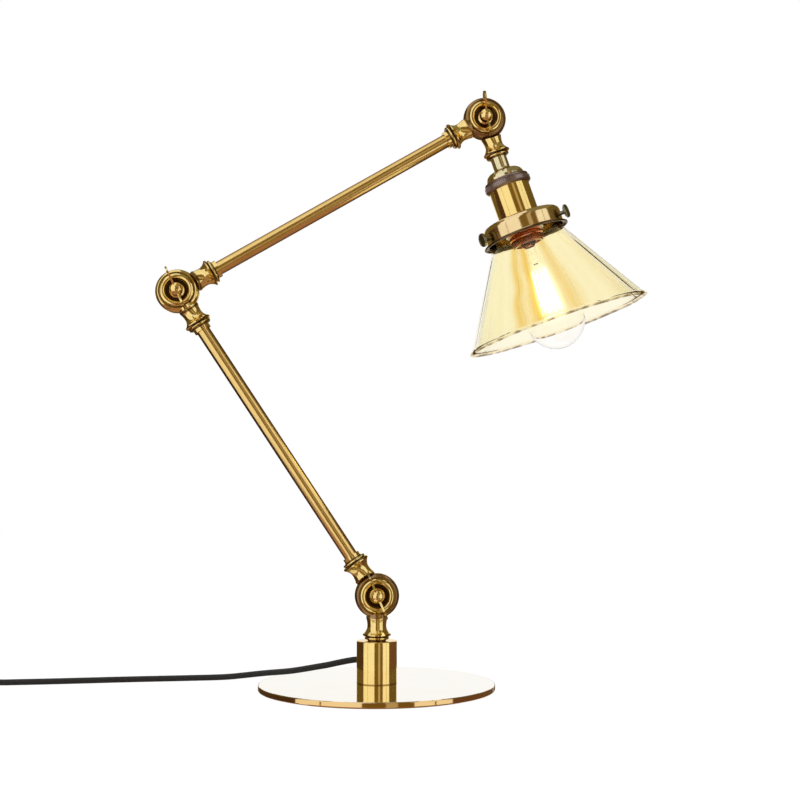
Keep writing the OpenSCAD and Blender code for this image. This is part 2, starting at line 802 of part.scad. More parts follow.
// Outline of the glass as [distance along the axis, radius, share of the flutes' depth]
cone_steps = 6;
cone_slope = (mouth_d - shade_neck_d) / 2 / cone_h;
wall_r = glass_t * sqrt(1 + cone_slope * cone_slope);
function cone_r(k) = shade_neck_d / 2 + (mouth_d - shade_neck_d) / 2 * k / cone_steps;
function shade_outline() = concat(
    [[fitter_s, fitter_d / 2 - 0.9, 0], [fitter_s + 0.9, fitter_d / 2, 0]],
    [[fitter_s + fitter_bead_h - 1, fitter_d / 2, 0]],
    [[fitter_s + fitter_bead_h, shade_neck_d / 2, 0]],
    [for (k = [0:cone_steps]) [cone_s + cone_h * k / cone_steps, cone_r(k), k / cone_steps]],
    [[shade_end_s - 0.9, rim_d / 2 - 0.2, 1], [shade_end_s - 0.1, rim_d / 2, 1]],
    [[shade_end_s, rim_d / 2 - 1, 1], [shade_end_s - 0.8, rim_d / 2 - 1.9, 1]],
    [for (k = [cone_steps:-1:1])
        [cone_s + cone_h * k / cone_steps, cone_r(k) - wall_r, k / cone_steps]],
    [[cone_s - 1, shade_neck_d / 2 - glass_t, 0], [fitter_s, shade_neck_d / 2 - glass_t, 0]]
);

module shade() {
    sides = flute_count * 6;
    outline = shade_outline();
    m = len(outline);
    points = [for (i = [0:sides - 1], p = outline)
        let (a = 360 * i / sides, r = p[1] + p[2] * lobe(a)) [r * cos(a), r * sin(a), p[0]]];
    faces = [for (i = [0:sides - 1], j = [0:m - 1], half = [0, 1])
        let (a = i * m, b = ((i + 1) % sides) * m, k = (j + 1) % m)
        half == 0 ? [a + j, b + j, b + k] : [a + j, b + k, a + k]];
    color("#fbe6a8", 0.5) head_at() polyhedron(points, faces, convexity = 6);
}

// The bulb

bulb_r = bulb_d / 2;
bulb_mid_s = bulb_glass_s + bulb_h - bulb_r;
bulb_swell_s = bulb_glass_s + 2.5;
function bulb_wall(inset) = concat(
    [[bulb_neck_d / 2 - inset, bulb_glass_s - 3]],
    [for (i = [0:14]) let (u = i / 14)
        [bulb_neck_d / 2 + (bulb_r - bulb_neck_d / 2) * pow(sin(90 * u), 0.9) - inset,
            bulb_swell_s + (bulb_mid_s - bulb_swell_s) * u]],
    [for (a = [7.5:7.5:90]) [(bulb_r - inset) * cos(a), bulb_mid_s + (bulb_r - inset) * sin(a)]]
);
function reversed(v) = [for (i = [len(v) - 1:-1:0]) v[i]];
module bulb_glass() {
    color("#fff6dc", 0.35) head_at() turned(concat(bulb_wall(0), reversed(bulb_wall(0.8))));
}

// The screw cap: rounded threads as rings, a black insulator and a tip
bulb_tip_s = bulb_s - 1.2;
module bulb_cap() {
    r = screw_cap_d / 2;
    turns = 5;
    pitch = 3.2;
    inner = bulb_neck_d / 2 + 0.1;
    color("#c08050") head_at() turned(concat(
        [[0, bulb_tip_s], [3, bulb_tip_s], [3.6, bulb_s - 0.4], [9, bulb_s + 1.4]],
        [for (i = [0:turns - 1], q = [[0.9, 0], [0, 0.25], [0, 0.55], [0.9, 0.8]])
            [r - q[0], bulb_s + 2.2 + pitch * (i + q[1])]],
        [[r - 0.6, bulb_glass_s], [inner, bulb_glass_s]],
        [[inner, bulb_glass_s - 4], [0, bulb_glass_s - 4]]
    ));
}

// The glass mount inside the bulb, with the rod that carries the filament
cage_top_s = bulb_glass_s + cage_at;
cage_end_s = cage_top_s + cage_h;
module bulb_mount() {
    stem_end_s = bulb_glass_s + mount_h;
    color("#f4f4ee", 0.5) head_at() {
        turned([
            [0, bulb_glass_s - 4], [bulb_neck_d / 2 - 2, bulb_glass_s - 3.9],
            [bulb_neck_d / 2 - 2, bulb_glass_s - 2.5], [3.6, bulb_glass_s + 3],
            [2.8, stem_end_s - 5], [3.2, stem_end_s - 2], [1.2, stem_end_s],
            [0.8, cage_end_s], [0, cage_end_s]
        ]);
        for (s = [cage_top_s - 0.6, cage_end_s - 1.4], i = [0:cage_legs / 2 - 1])
            rotate([0, 0, 720 * i / cage_legs + (s < cage_end_s - 2 ? 360 / cage_legs : 0)])
                translate([0, 0, s]) rotate([0, 90, 0])
                    cylinder(d = 0.5, h = cage_d / 2 * (s < cage_end_s - 2 ? 0.72 : 1) - 0.4, $fn = 16);
    }
}

// The filament's legs run down and up in turn round the cage
module bulb_filament() {
    function top(i) = let (a = 720 * (i + 0.5) / cage_legs)
        [cage_d * 0.36 * cos(a), cage_d * 0.36 * sin(a), cage_top_s];
    function low(i) = let (a = 720 * i / cage_legs)
        [cage_d / 2 * cos(a), cage_d / 2 * sin(a), cage_end_s - 1.2];
    leg_d = 0.6;
    color("#ffd070") head_at() for (i = [0:cage_legs / 2 - 1]) {
        knee(low(i), leg_d);
        rod(low(i), top(i), leg_d);
        knee(top(i), leg_d);
        rod(top(i), low(i + 1), leg_d);
    }
}

// The cord

// Where the free cord runs: from inside the column to the switch
lead_route = [
    [-8, 2.14, outlet_z], [-15.5, 4.15, outlet_z], [-26, 7.2, 18.2], [-35, 10.2, 16], [-44, 14.4, 14],
    [-53, 20, 11.8], [-62, 26.6, 9.7], [-70, 32.8, 8.2], [-79, 38.8, 6.8], [-88, 43.4, 5.4],
    [-98, 46.6, 4], [-109, 48.6, 2.8], [-121, 49.2, 2.3], [-134, 48.6, 2.2], [-147, 47.4, 2.2],
    [-160, 46.3, 2.2], [-173, 45.3, 2.2], [-186, 44, 2.2], [-199, 42.6, 2.2], [-212, 41, 2.2],
    [-225, 39.5, 2.2], [-238, 38.1, 2.2], [-250, 37, 2.2], [-262, 36.2, 2.2], [-273, 35.6, 2.2],
    [-283, 35.2, 3], [-292, 35, 4.8], [-300, 35, 6], [-304, 35, 6]
];

// The switch lies on the cord, which enters it a little way at both ends
switch_right = [-300, 35, 6];
switch_len = 58;
switch_left = switch_right - [switch_len, 0, 0];
cord_entry = 4;

// The coil: loops piled in four layers that spiral in and out in turn
coil_centre = [-360, -16];
coil_out_r = 30.2;
coil_layers = 4;
coil_turns = 2;
coil_step = cord_d + 0.5;
coil_rings = 24;
function layer_r(u) =
    let (k = floor(u / coil_turns), t = u - k * coil_turns)
    k % 2 == 0 ? coil_out_r - coil_step * t : coil_out_r - coil_step * (coil_turns - t);
function climb(u) =
    let (k = round(u / coil_turns), t = u - k * coil_turns)
    k < 1 || k >= coil_layers ? 0 : t < -0.25 ? -1 : t > 0.25 ? 0 : (sin(360 * t) - 1) / 2;
function layer_z(u) =
    let (k = round(u / coil_turns))
    cord_d / 2 + coil_step * ((k < 1 ? 0 : k >= coil_layers ? coil_layers - 1 : k) + climb(u));
coil_path = concat(
    [[coil_centre[0] - coil_out_r, coil_centre[1] + cord_d, cord_d / 2]],
    [for (i = [0:coil_rings * coil_turns * coil_layers])
        let (u = i / coil_rings, a = 180 + 360 * u)
        [coil_centre[0] + layer_r(u) * cos(a), coil_centre[1] + layer_r(u) * sin(a), layer_z(u)]],
    [[coil_centre[0] - coil_out_r, coil_centre[1] - cord_d, cord_d / 2 + coil_step * (coil_layers - 1)]]
);
coil_start = coil_path[0];
coil_end = coil_path[len(coil_path) - 1];

// From the switch to the coil
link_route = concat(
    [switch_left + [cord_entry, 0, 0], switch_left, switch_left + [-6, 0, 0]],
    [[-372, 33.6, 4.2], [-380, 28.5, 2.6], [-386, 21, 2.2], [-389.4, 11, 2.2], [-390.2, 0, 2.2]],
    [coil_start + [0, 5, 0], coil_start]
);

// From the top of the coil to the plug
tail_route = concat(
    [coil_end, coil_end + [0, -5, 0]],
    [[-390.2, -35, 15.9], [-390, -45, 12.8], [-389, -55, 8.8], [-386, -64, 5.2]],
    [[-380, -72, 3], [-371, -77, 3], [-361, -79, 4.8], [-352, -79.5, 6.8], [-344, -79.5, 7.5]]
);
plug_start = tail_route[len(tail_route) - 1];

// A tube of the cord's diameter along a path, with rings of the given number of sides.
// Its two ends are cut square to the given directions
function unit(v) = v / norm(v);
function heading(path, i) =
    unit(path[min(i + 1, len(path) - 1)] - path[max(i - 1, 0)]);
module cord_tube(path, sides, start_dir, end_dir) {
    n = len(path);
    points = [for (i = [0:n - 1], j = [0:sides - 1])
        let (
            t = i == 0 ? unit(start_dir) : i == n - 1 ? unit(end_dir) : heading(path, i),
            side = unit(cross(t, [0, 0, 1])),
            up = cross(side, t),
            a = 360 * (j + 0.5) / sides
        )
        path[i] + cord_d / 2 * (cos(a) * side + sin(a) * up)];
    walls = [for (i = [0:n - 2], j = [0:sides - 1], half = [0, 1])
        let (a = i * sides, b = a + sides, k = (j + 1) % sides)
        half == 0 ? [a + j, b + j, b + k] : [a + j, b + k, a + k]];
    caps = [for (j = [1:sides - 2], end = [0, 1])
        let (b = (n - 1) * sides)
        end == 0 ? [0, j, j + 1] : [b, b + j + 1, b + j]];
    color("#222222") polyhedron(points, concat(walls, caps), convexity = 8);
}

function coil_gap() = min([for (i = [0:len(coil_path) - 1], j = [i + coil_rings / 2:1:len(coil_path) - 1])
    norm(coil_path[i] - coil_path[j])]) - cord_d;
function path_len(p, i = 1) = i >= len(p) ? 0 : norm(p[i] - p[i - 1]) + path_len(p, i + 1);

module cord_lead() {
    cord_tube(lead_route, 8, lead_route[1] - lead_route[0], [-1, 0, 0]);
}

module cord_link() {
    cord_tube(link_route, 8, [-1, 0, 0], [0, -1, 0]);
}

module cord_coil() {
    cord_tube(coil_path, 6, [0, -1, 0], [0, -1, 0]);
    echo(coil_gap = coil_gap(), coil_length = path_len(coil_path));
}

module cord_tail() {
    cord_tube(tail_route, 8, [0, -1, 0], [1, 0, 0]);
}

// The switch on the cord

switch_r = 6;
split_z = 8;
case_wall = 1.6;
module rounded_block(l, w, h, r) {
    translate([-l / 2 + r, -w / 2, 0]) cube([l - 2 * r, w, h]);
    translate([-l / 2, -w / 2 + r, 0]) cube([l, w - 2 * r, h]);
    for (x = [-1, 1], y = [-1, 1])
        translate([x * (l / 2 - r), y * (w / 2 - r), 0]) cylinder(r = r, h = h);
}

module switch_hollow(h) {
    inset = 2 * case_wall;
    rounded_block(switch_len - inset, switch_w - inset, h, switch_r - case_wall);
}

module switch_at() {
    translate([(switch_left[0] + switch_right[0]) / 2, switch_right[1], 0]) children();
}

module cord_ways() {
    translate([-switch_len, 0, switch_right[2]]) rotate([0, 90, 0])
        cylinder(d = cord_d + 2 * run_gap, h = 2 * switch_len);
}

module switch_base() {
    color("#1c1c1c") switch_at() difference() {
        rounded_block(switch_len, switch_w, split_z, switch_r);
        translate([0, 0, case_wall]) switch_hollow(split_z);
        cord_ways();
    }
}

// The cover has a window for the rocker, and two cheeks that hold the rocker's pin
rocker_z = switch_h - 2.6;
pin_d = 2.4;
cheek_t = 2.4;
module switch_cover() {
    top = switch_h - split_z;
    color("#1c1c1c") switch_at() difference() {
        union() {
            translate([0, 0, split_z]) difference() {
                union() {
                    rounded_block(switch_len, switch_w, top - 1.5, switch_r);
                    rounded_block(switch_len - 3, switch_w - 3, top, switch_r - 1.5);
                }
                translate([0, 0, -case_wall]) switch_hollow(top);
            }
            for (side = [-1, 1])
                translate([-4, side * (rocker_w / 2 + 1.7) - cheek_t / 2, rocker_z - 4])
                    cube([8, cheek_t, switch_h - rocker_z + 3]);
        }
        translate([-rocker_len / 2 - 0.9, -rocker_w / 2 - 0.5, 0])
            cube([rocker_len + 1.8, rocker_w + 1, switch_h + 1]);
        translate([0, 0, rocker_z]) rotate([90, 0, 0])
            cylinder(d = pin_d + 2 * run_gap, h = rocker_w + 2 * cheek_t, center = true);
        cord_ways();
    }
}

// The rocker: two flat wings that meet at an angle, on its own pin
module switch_rocker() {
    h = 3.4;
    drop = rocker_len / 2 * tan(rocker_tilt);
    color("#2a2a2a") switch_at() translate([0, 0, rocker_z]) rotate([0, rocker_tilt, 0]) {
        rotate([90, 0, 0]) linear_extrude(rocker_w, center = true) polygon([
            [-rocker_len / 2, h - 2.6], [-rocker_len / 2, h + drop], [0, h - 1],
            [rocker_len / 2, h + drop], [rocker_len / 2, h - 2.6], [2.4, -2], [-2.4, -2]
        ]);
        rotate([90, 0, 0]) cylinder(d = pin_d, h = rocker_w + 4, center = true);
    }
}

// The plug

relief_len = 20;
plug_len = 30;
module plug_at() {
    translate(plug_start) children();
}

// A tapered body, drawn in from above and from the side, with a tapered strain relief
module plug_body() {
    color("#1c1c1c") plug_at() {
        intersection() {
            translate([relief_len, 0, -plug_t / 2]) linear_extrude(plug_t) polygon([
                [0, -plug_w * 0.3], [6, -plug_w * 0.42], [20, -plug_w / 2], [plug_len, -plug_w / 2],
                [plug_len, plug_w / 2], [20, plug_w / 2], [6, plug_w * 0.42], [0, plug_w * 0.3]
            ]);
            rotate([90, 0, 0]) translate([relief_len, 0, -plug_w]) linear_extrude(2 * plug_w) polygon([
                [0, -plug_t * 0.3], [9, -plug_t / 2],
                [plug_len - 2, -plug_t / 2], [plug_len, -plug_t / 2 + 1],
                [plug_len, plug_t / 2 - 1], [plug_len - 2, plug_t / 2],
                [9, plug_t / 2], [0, plug_t * 0.3]
            ]);
        }
        rotate([0, 90, 0]) cylinder(d1 = cord_d + 1.6, d2 = plug_t * 0.56, h = relief_len + 1);
    }
}

module plug_blades() {
    blade_w = 6.35;
    blade_t = 1.5;
    color("#b9b9b4") plug_at() for (side = [-1, 1])
        translate([relief_len + plug_len, side * blade_gap / 2 - blade_t / 2, -blade_w / 2])
            difference() {
                linear_extrude(blade_w) polygon([
                    [0, 0], [0, blade_t], [blade_len - 1.2, blade_t], [blade_len, blade_t * 0.7],
                    [blade_len, blade_t * 0.3], [blade_len - 1.2, 0]
                ]);
                translate([blade_len - 4.5, -1, blade_w / 2]) rotate([-90, 0, 0])
                    cylinder(d = 3, h = blade_t + 2);
            }
}

// What each name draws

base_pad();
base_plate();
column();
column_foot();
column_screw();
column_nipple();
nipple_nut();
cord_bushing();
base_wires();
base_swivel();
base_clamp_screw();
base_clamp_washer();
base_clamp_nut();
lower_arm_foot();
lower_arm_tube();
lower_arm_head();
lower_arm_wires();
elbow_clamp_screw();
elbow_clamp_washer();
elbow_clamp_nut();
upper_arm_foot();
upper_arm_tube();
upper_arm_head();
upper_arm_wires();
head_clamp_screw();
head_clamp_washer();
head_clamp_nut();
head_swivel();
head_nipple();
head_wires();
holder_cap();
holder_ring();
holder_shell();
holder_core();
screw_contact();
centre_contact();
gallery();
gallery_nut();
thumbscrew(thumb_angles[0]);  // thumbscrew_left
thumbscrew(thumb_angles[1]);  // thumbscrew_right
thumbscrew(thumb_angles[2]);  // thumbscrew_back
shade();
bulb_glass();
bulb_cap();
bulb_mount();
bulb_filament();
cord_lead();
switch_base();
switch_cover();
switch_rocker();
cord_link();
cord_coil();
cord_tail();
plug_body();
plug_blades();
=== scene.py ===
"""A glass table lamp: its cord, glass, lit bulb, finishes and studio, round the fixed CAD frame."""
import json
import math

import bmesh
import bpy
from bpy.props import FloatProperty, FloatVectorProperty, IntProperty, PointerProperty
from mathutils import Matrix, Vector


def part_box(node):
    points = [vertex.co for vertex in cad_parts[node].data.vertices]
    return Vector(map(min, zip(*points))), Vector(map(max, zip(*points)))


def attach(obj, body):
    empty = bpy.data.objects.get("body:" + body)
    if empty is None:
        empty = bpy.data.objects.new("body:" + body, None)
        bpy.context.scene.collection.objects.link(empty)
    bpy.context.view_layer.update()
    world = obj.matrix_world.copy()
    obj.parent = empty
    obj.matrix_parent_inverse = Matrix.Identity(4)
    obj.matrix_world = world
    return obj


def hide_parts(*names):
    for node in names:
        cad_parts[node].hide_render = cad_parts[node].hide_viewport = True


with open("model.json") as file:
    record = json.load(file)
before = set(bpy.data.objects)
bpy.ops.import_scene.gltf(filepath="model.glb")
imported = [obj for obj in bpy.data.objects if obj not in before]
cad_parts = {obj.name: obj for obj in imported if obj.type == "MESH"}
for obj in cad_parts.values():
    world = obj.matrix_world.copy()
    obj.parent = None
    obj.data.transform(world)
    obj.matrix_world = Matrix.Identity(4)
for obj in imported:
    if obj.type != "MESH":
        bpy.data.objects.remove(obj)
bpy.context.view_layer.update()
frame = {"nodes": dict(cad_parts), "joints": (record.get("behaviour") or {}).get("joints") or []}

bl_info = {
    "name": "Glass table lamp",
    "version": (1, 0, 0),
    "blender": (4, 5, 0),
    "location": "3D View > Sidebar > Lamp",
    "description": "Models the cord, glass, bulb and finishes of a jointed table lamp",
    "category": "Object",
}

MM = 0.001
JOINTS = {joint["name"]: joint for joint in frame["joints"]}
BASE_PIVOT = Vector(JOINTS["lower_arm_tilt"]["pos_m"])
ELBOW_PIVOT = Vector(JOINTS["elbow_tilt"]["pos_m"])
HEAD_PIVOT = Vector(JOINTS["head_tilt"]["pos_m"])
HEAD_AXIS = Vector(JOINTS["bulb_turn"]["axis"])
LOWER_AXIS = ELBOW_PIVOT - BASE_PIVOT
UPPER_AXIS = HEAD_PIVOT - ELBOW_PIVOT

# The photograph's camera, fitted to the lamp: its place in metres, and how far it looks up and
# to the right in radians
CAMERA_PLACE, CAMERA_UP, CAMERA_RIGHT = (-0.03955, -0.81411, 0.12625), 0.100, 0.069
# The studio's cards stand round the middle of the lamp. Their angles are counted from its front,
# this many degrees to the left
CARD_CENTRE, CARD_TURN = Vector((-0.03, 0, 0.2)), 2.8
LIT_POINT = Vector((-0.05, 0, 0.2))  # where the studio's lamps aim
COIL_CENTRE = (-360, -16)  # of the cord's coil on the table, in millimetres


# Helpers


def hex_rgb(code):
    """The linear colour of an sRGB hex code."""
    channels = [int(code[i:i + 2], 16) / 255 for i in (1, 3, 5)]
    return tuple(c / 12.92 if c <= 0.04045 else ((c + 0.055) / 1.055) ** 2.4 for c in channels)


def hex_rgba(code):
    """The same, opaque."""
    return (*hex_rgb(code), 1.0)


def add(tree, kind, inputs=None, **settings):
    """Adds a node, with settings for its own properties and inputs for its sockets.

    kind is its type without the ShaderNode that starts every one. An input is a value, another
    node's output, or a node, which then stands for its first output.
    """
    node = tree.nodes.new(f"ShaderNode{kind}")
    for name, value in settings.items():
        setattr(node, name, value)
    for name, value in (inputs or {}).items():
        if isinstance(value, bpy.types.Node):
            value = value.outputs[0]
        if isinstance(value, bpy.types.NodeSocket):
            tree.links.new(value, node.inputs[name])
        else:
            node.inputs[name].default_value = value
    return node


def new_material(name):
    """An empty material, and its node tree."""
    material = bpy.data.materials.new(name)
    material.use_nodes = True
    material.node_tree.nodes.clear()
    return material, material.node_tree


def surface(material, shader):
    """The material, with a shader linked to its output."""
    add(material.node_tree, "OutputMaterial", {"Surface": shader})
    return material


def active(name):
    """The object that an operator has just made, under its own name."""
    piece = bpy.context.object
    piece.name = piece.data.name = name
    return piece


def deselect():
    """Leaves edit mode, with nothing selected."""
    if bpy.context.object and bpy.context.object.mode != "OBJECT":
        bpy.ops.object.mode_set(mode="OBJECT")
    bpy.ops.object.select_all(action="DESELECT")


def pick(piece):
    """Makes a piece the only selected one."""
    deselect()
    piece.select_set(True)
    bpy.context.view_layer.objects.active = piece


def select_where(piece, keep, kind="verts"):
    """In edit mode, selects the vertices, edges or faces of a piece for which keep() is true."""
    mesh = bmesh.from_edit_mesh(piece.data)
    bpy.ops.mesh.select_all(action="DESELECT")
    modes = {"verts": "VERT", "edges": "EDGE", "faces": "FACE"}
    bpy.ops.mesh.select_mode(type=modes[kind])
    for element in getattr(mesh, kind):
        element.select_set(keep(element))
    mesh.select_flush_mode()
    bmesh.update_edit_mesh(piece.data)


def apply_modifier(piece, kind, **settings):
    """Adds a modifier with its settings and applies it."""
    pick(piece)
    modifier = piece.modifiers.new(kind.title(), kind)
    for name, value in settings.items():
        setattr(modifier, name, value)
    bpy.ops.object.modifier_apply(modifier=modifier.name)


def smooth(piece, angle=35.0):
    """Shades a piece smooth, apart from its edges sharper than angle."""
    pick(piece)
    bpy.ops.object.shade_smooth_by_angle(angle=math.radians(angle))


def place(piece, matrix):
    """Moves a piece modelled about the Z axis to its place, and leaves its object at the origin."""
    piece.matrix_world = matrix
    pick(piece)
    bpy.ops.object.transform_apply(location=True, rotation=True, scale=True)


def resize(piece, size):
    """Gives the active piece, which was added at unit size, its size in its mesh."""
    piece.scale = size
    bpy.ops.object.transform_apply(location=True, rotation=True, scale=True)


def head_matrix():
    """From the head's own frame, with Z down the lamp head from its pivot, to the row frame."""
    turn = math.atan2(HEAD_AXIS.x, HEAD_AXIS.z)
    return Matrix.Translation(HEAD_PIVOT) @ Matrix.Rotation(turn, 4, "Y")


def stations(node):
    """Where a CAD node starts and ends along the lamp head, in metres from the head's pivot."""
    vertices = frame["nodes"][node].data.vertices
    heights = [(vertex.co - HEAD_PIVOT).dot(HEAD_AXIS) for vertex in vertices]
    return min(heights), max(heights)


def drawn_rings(outline, sides, name):
    """A round skin about Z: a circle drawn through an outline of (height, radius) pairs."""
    deselect()
    height, radius = outline[0]
    bpy.ops.mesh.primitive_circle_add(vertices=sides, radius=radius, fill_type="NOTHING",
                                      location=(0, 0, height))
    piece = active(name)
    bpy.ops.object.transform_apply(location=True)
    bpy.ops.object.mode_set(mode="EDIT")
    bpy.ops.mesh.select_all(action="SELECT")
    for next_height, next_radius in outline[1:]:
        rise = (0, 0, next_height - height)
        bpy.ops.mesh.extrude_region_move(TRANSFORM_OT_translate={"value": rise})
        factor = next_radius / radius
        bpy.ops.transform.resize(value=(factor, factor, 1), center_override=(0, 0, next_height))
        height, radius = next_height, next_radius
    bpy.ops.object.mode_set(mode="OBJECT")
    return piece


def outward(piece):
    """Turns all faces of a piece outwards."""
    pick(piece)
    bpy.ops.object.mode_set(mode="EDIT")
    bpy.ops.mesh.select_all(action="SELECT")
    bpy.ops.mesh.remove_doubles(threshold=1e-6)
    bpy.ops.mesh.normals_make_consistent(inside=False)
    bpy.ops.object.mode_set(mode="OBJECT")


def finish_piece(piece, body, material):
    """Gives a new piece its material and its body."""
    piece.data.materials.clear()
    piece.data.materials.append(material)
    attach(piece, body)


# Finishes


def seen_directly(tree):
    """1 to the camera, to metal and to glass, and 0 to matt surfaces."""
    rays = add(tree, "LightPath").outputs
    seen = add(tree, "Math", {0: rays["Is Camera Ray"], 1: rays["Is Glossy Ray"]},
               operation="MAXIMUM")
    return add(tree, "Math", {0: seen, 1: rays["Is Transmission Ray"]}, operation="MAXIMUM")


def coordinates(tree, turn=None, centre=None):
    """Object coordinates, or those from a centre, turned so that Z runs along a piece."""
    source = add(tree, "TexCoord").outputs["Object"]
    if turn is None:
        return source
    moved = add(tree, "VectorMath", {0: source, 1: tuple(centre)}, operation="SUBTRACT")
    angle = -math.atan2(turn.x, turn.z)
    return add(tree, "Mapping", {"Vector": moved, "Rotation": (0, angle, 0)})


def stretched(tree, vector, size, detail=2.0):
    """Noise whose grains are size millimetres wide in X, Y and Z."""
    scaled = add(tree, "VectorMath", {0: vector, 1: [1 / (s * MM) for s in size]},
                 operation="MULTIPLY")
    noise = add(tree, "TexNoise", {"Vector": scaled, "Scale": 1.0, "Detail": detail})
    return noise.outputs["Fac"]


def ramp(tree, value, low, high, colours):
    """Maps a value from low..high to evenly spaced colours."""
    node = add(tree, "ValToRGB", {"Fac": value})
    stops = node.color_ramp.elements
    stops[0].position, stops[1].position = low, high
    for k in range(1, len(colours) - 1):
        stops.new(low + (high - low) * k / (len(colours) - 1))
    for stop, colour in zip(stops, colours):
        stop.color = colour
    return node.outputs["Color"]


def band(tree, value, low, high, soft=0.5):
    """1 where a value in metres lies from low to high millimetres, with soft ends, else 0."""
    rise = add(tree, "MapRange",
               {"Value": value, "From Min": low * MM, "From Max": (low + soft) * MM})
    fall = add(tree, "MapRange",
               {"Value": value, "From Min": (high - soft) * MM, "From Max": high * MM,
                "To Min": 1.0, "To Max": 0.0})
    return add(tree, "Math", {0: rise, 1: fall}, operation="MULTIPLY")


def from_pivots(tree, vector):
    """Distance of a point from the nearest swivel's axis."""
    nearest = None
    for pivot in (BASE_PIVOT, ELBOW_PIVOT, HEAD_PIVOT):
        offset = add(tree, "VectorMath", {0: vector, 1: tuple(pivot)}, operation="SUBTRACT")
        flat = add(tree, "VectorMath", {0: offset, 1: (1, 0, 1)}, operation="MULTIPLY")
        radius = add(tree, "VectorMath", {0: flat}, operation="LENGTH").outputs["Value"]
        if nearest:
            radius = add(tree, "Math", {0: nearest, 1: radius}, operation="MINIMUM")
        nearest = radius
    return nearest


def grained(tree, pattern, smoothest, roughest, strength, relief):
    """The roughness and the bumpy normal of a pattern of marks, relief millimetres deep."""
    roughness = add(tree, "MapRange", {"Value": pattern, "To Min": smoothest, "To Max": roughest})
    depth = {"Height": pattern, "Strength": strength, "Distance": relief * MM}
    return roughness, add(tree, "Bump", depth)


def along(tree, vector):
    """Distance of a point along the vector's own Z."""
    return add(tree, "SeparateXYZ", {0: vector}).outputs["Z"]


def brass(name, base, patina, rough, grain, turn=None, centre=None, groove=0.6, reach=3.0,
          lacquer=0.3, edge="#FFF2D8", relief=0.008, where=None, bands=(), outline=0.0):
    """Brass under a thin lacquer, with a patina in its grooves that painted shade deepens.

    grain is the size in millimetres of the marks that making left, in X, Y and along the piece:
    long ones on a drawn tube, rings on a turned part, and even ones on a tumbled casting. bands
    are darkened zones, each with its two ends in millimetres of what where measures, a colour and
    a roughness; on the castings and the gallery's lip they are painted shade. outline is how much
    of the patina colour is painted in as shade where the surface turns away from the camera.
    """
    material, tree = new_material(name)
    vector = coordinates(tree, turn, centre)
    marks = stretched(tree, vector, grain)
    clouds = stretched(tree, vector, (9, 9, 9), 3.0)
    tone = ramp(tree, clouds, 0.3, 0.75, [hex_rgba(patina), hex_rgba(base)])
    body = add(tree, "Mix", {"Factor": 0.12, 6: hex_rgba(base), 7: tone},
               data_type="RGBA").outputs[2]
    # 1 on open surfaces and less in corners and grooves within reach, which get patina and painted
    # shade
    openness = add(tree, "AmbientOcclusion", {"Distance": reach * MM},
                   samples=16, only_local=True).outputs["AO"]
    shade = ramp(tree, openness, 0.75 - groove, 0.75, [hex_rgba(patina), (1, 1, 1, 1)])
    colour = add(tree, "Mix", {"Factor": 1.0, 6: body, 7: shade},
                 data_type="RGBA", blend_type="MULTIPLY").outputs[2]
    roughness, normal = grained(tree, marks, rough * 0.85, rough * 1.15, 0.25, relief)
    if outline:
        # Painted shade: the patina colour mixed in where the surface turns away from the camera
        facing = add(tree, "LayerWeight", {"Blend": 0.5}).outputs["Facing"]
        painted_rim_shade = add(tree, "MapRange", {
            "Value": facing, "From Min": 0.25, "From Max": 0.6, "To Max": outline,
        })
        colour = add(tree, "Mix", {"Factor": painted_rim_shade, 6: colour, 7: hex_rgba(patina)},
                     data_type="RGBA").outputs[2]
    value = where(tree, vector) if where else None
    for low, high, code, dull in bands:
        inside = band(tree, value, low, high)
        colour = add(tree, "Mix", {"Factor": inside, 6: colour, 7: hex_rgba(code)},
                     data_type="RGBA").outputs[2]
        roughness = add(tree, "Mix", {"Factor": inside, 2: roughness, 3: dull})
    shader = add(tree, "BsdfPrincipled", {
        "Base Color": colour,
        "Metallic": 1.0,
        "Roughness": roughness,
        "Specular Tint": hex_rgba(edge),
        "Coat Weight": lacquer,
        "Coat Roughness": 0.08,
        "Normal": normal,
    })
    return surface(material, shader)


def plate_brass():
    """Sheet brass, spun and polished to a mirror, with fine turning rings and a clear lacquer."""
    material, tree = new_material("polished_plate_brass")
    vector = coordinates(tree)
    flat = add(tree, "VectorMath", {0: vector, 1: (1, 1, 0)}, operation="MULTIPLY")
    radius = add(tree, "VectorMath", {0: flat}, operation="LENGTH").outputs["Value"]
    ring_number = add(tree, "Math", {0: radius, 1: 1 / (1.2 * MM)}, operation="MULTIPLY")
    rings = add(tree, "TexNoise", {"W": ring_number, "Scale": 1.0, "Detail": 3.0},
                noise_dimensions="1D").outputs["Fac"]
    clouds = stretched(tree, vector, (25, 25, 25), 2.0)
    # Upward faces take a near-white colour: a painted reflection of the white backdrop
    top = ramp(tree, clouds, 0.3, 0.7, [hex_rgba("#F6EEDD"), hex_rgba("#F8F1E4")])
    normal = add(tree, "NewGeometry").outputs["Normal"]
    upward = add(tree, "SeparateXYZ", {0: normal}).outputs["Z"]
    level = add(tree, "MapRange", {"Value": upward, "From Min": 0.6, "From Max": 0.9})
    colour = add(tree, "Mix", {"Factor": level, 6: hex_rgba("#E6C284"), 7: top},
                 data_type="RGBA").outputs[2]
    roughness, relief = grained(tree, rings, 0.05, 0.09, 0.05, 0.02)
    shader = add(tree, "BsdfPrincipled", {
        "Base Color": colour,
        "Metallic": 1.0,
        "Roughness": roughness,
        "Coat Weight": 0.6,
        "Coat Roughness": 0.04,
        "Normal": relief,
    })
    return surface(material, shader)


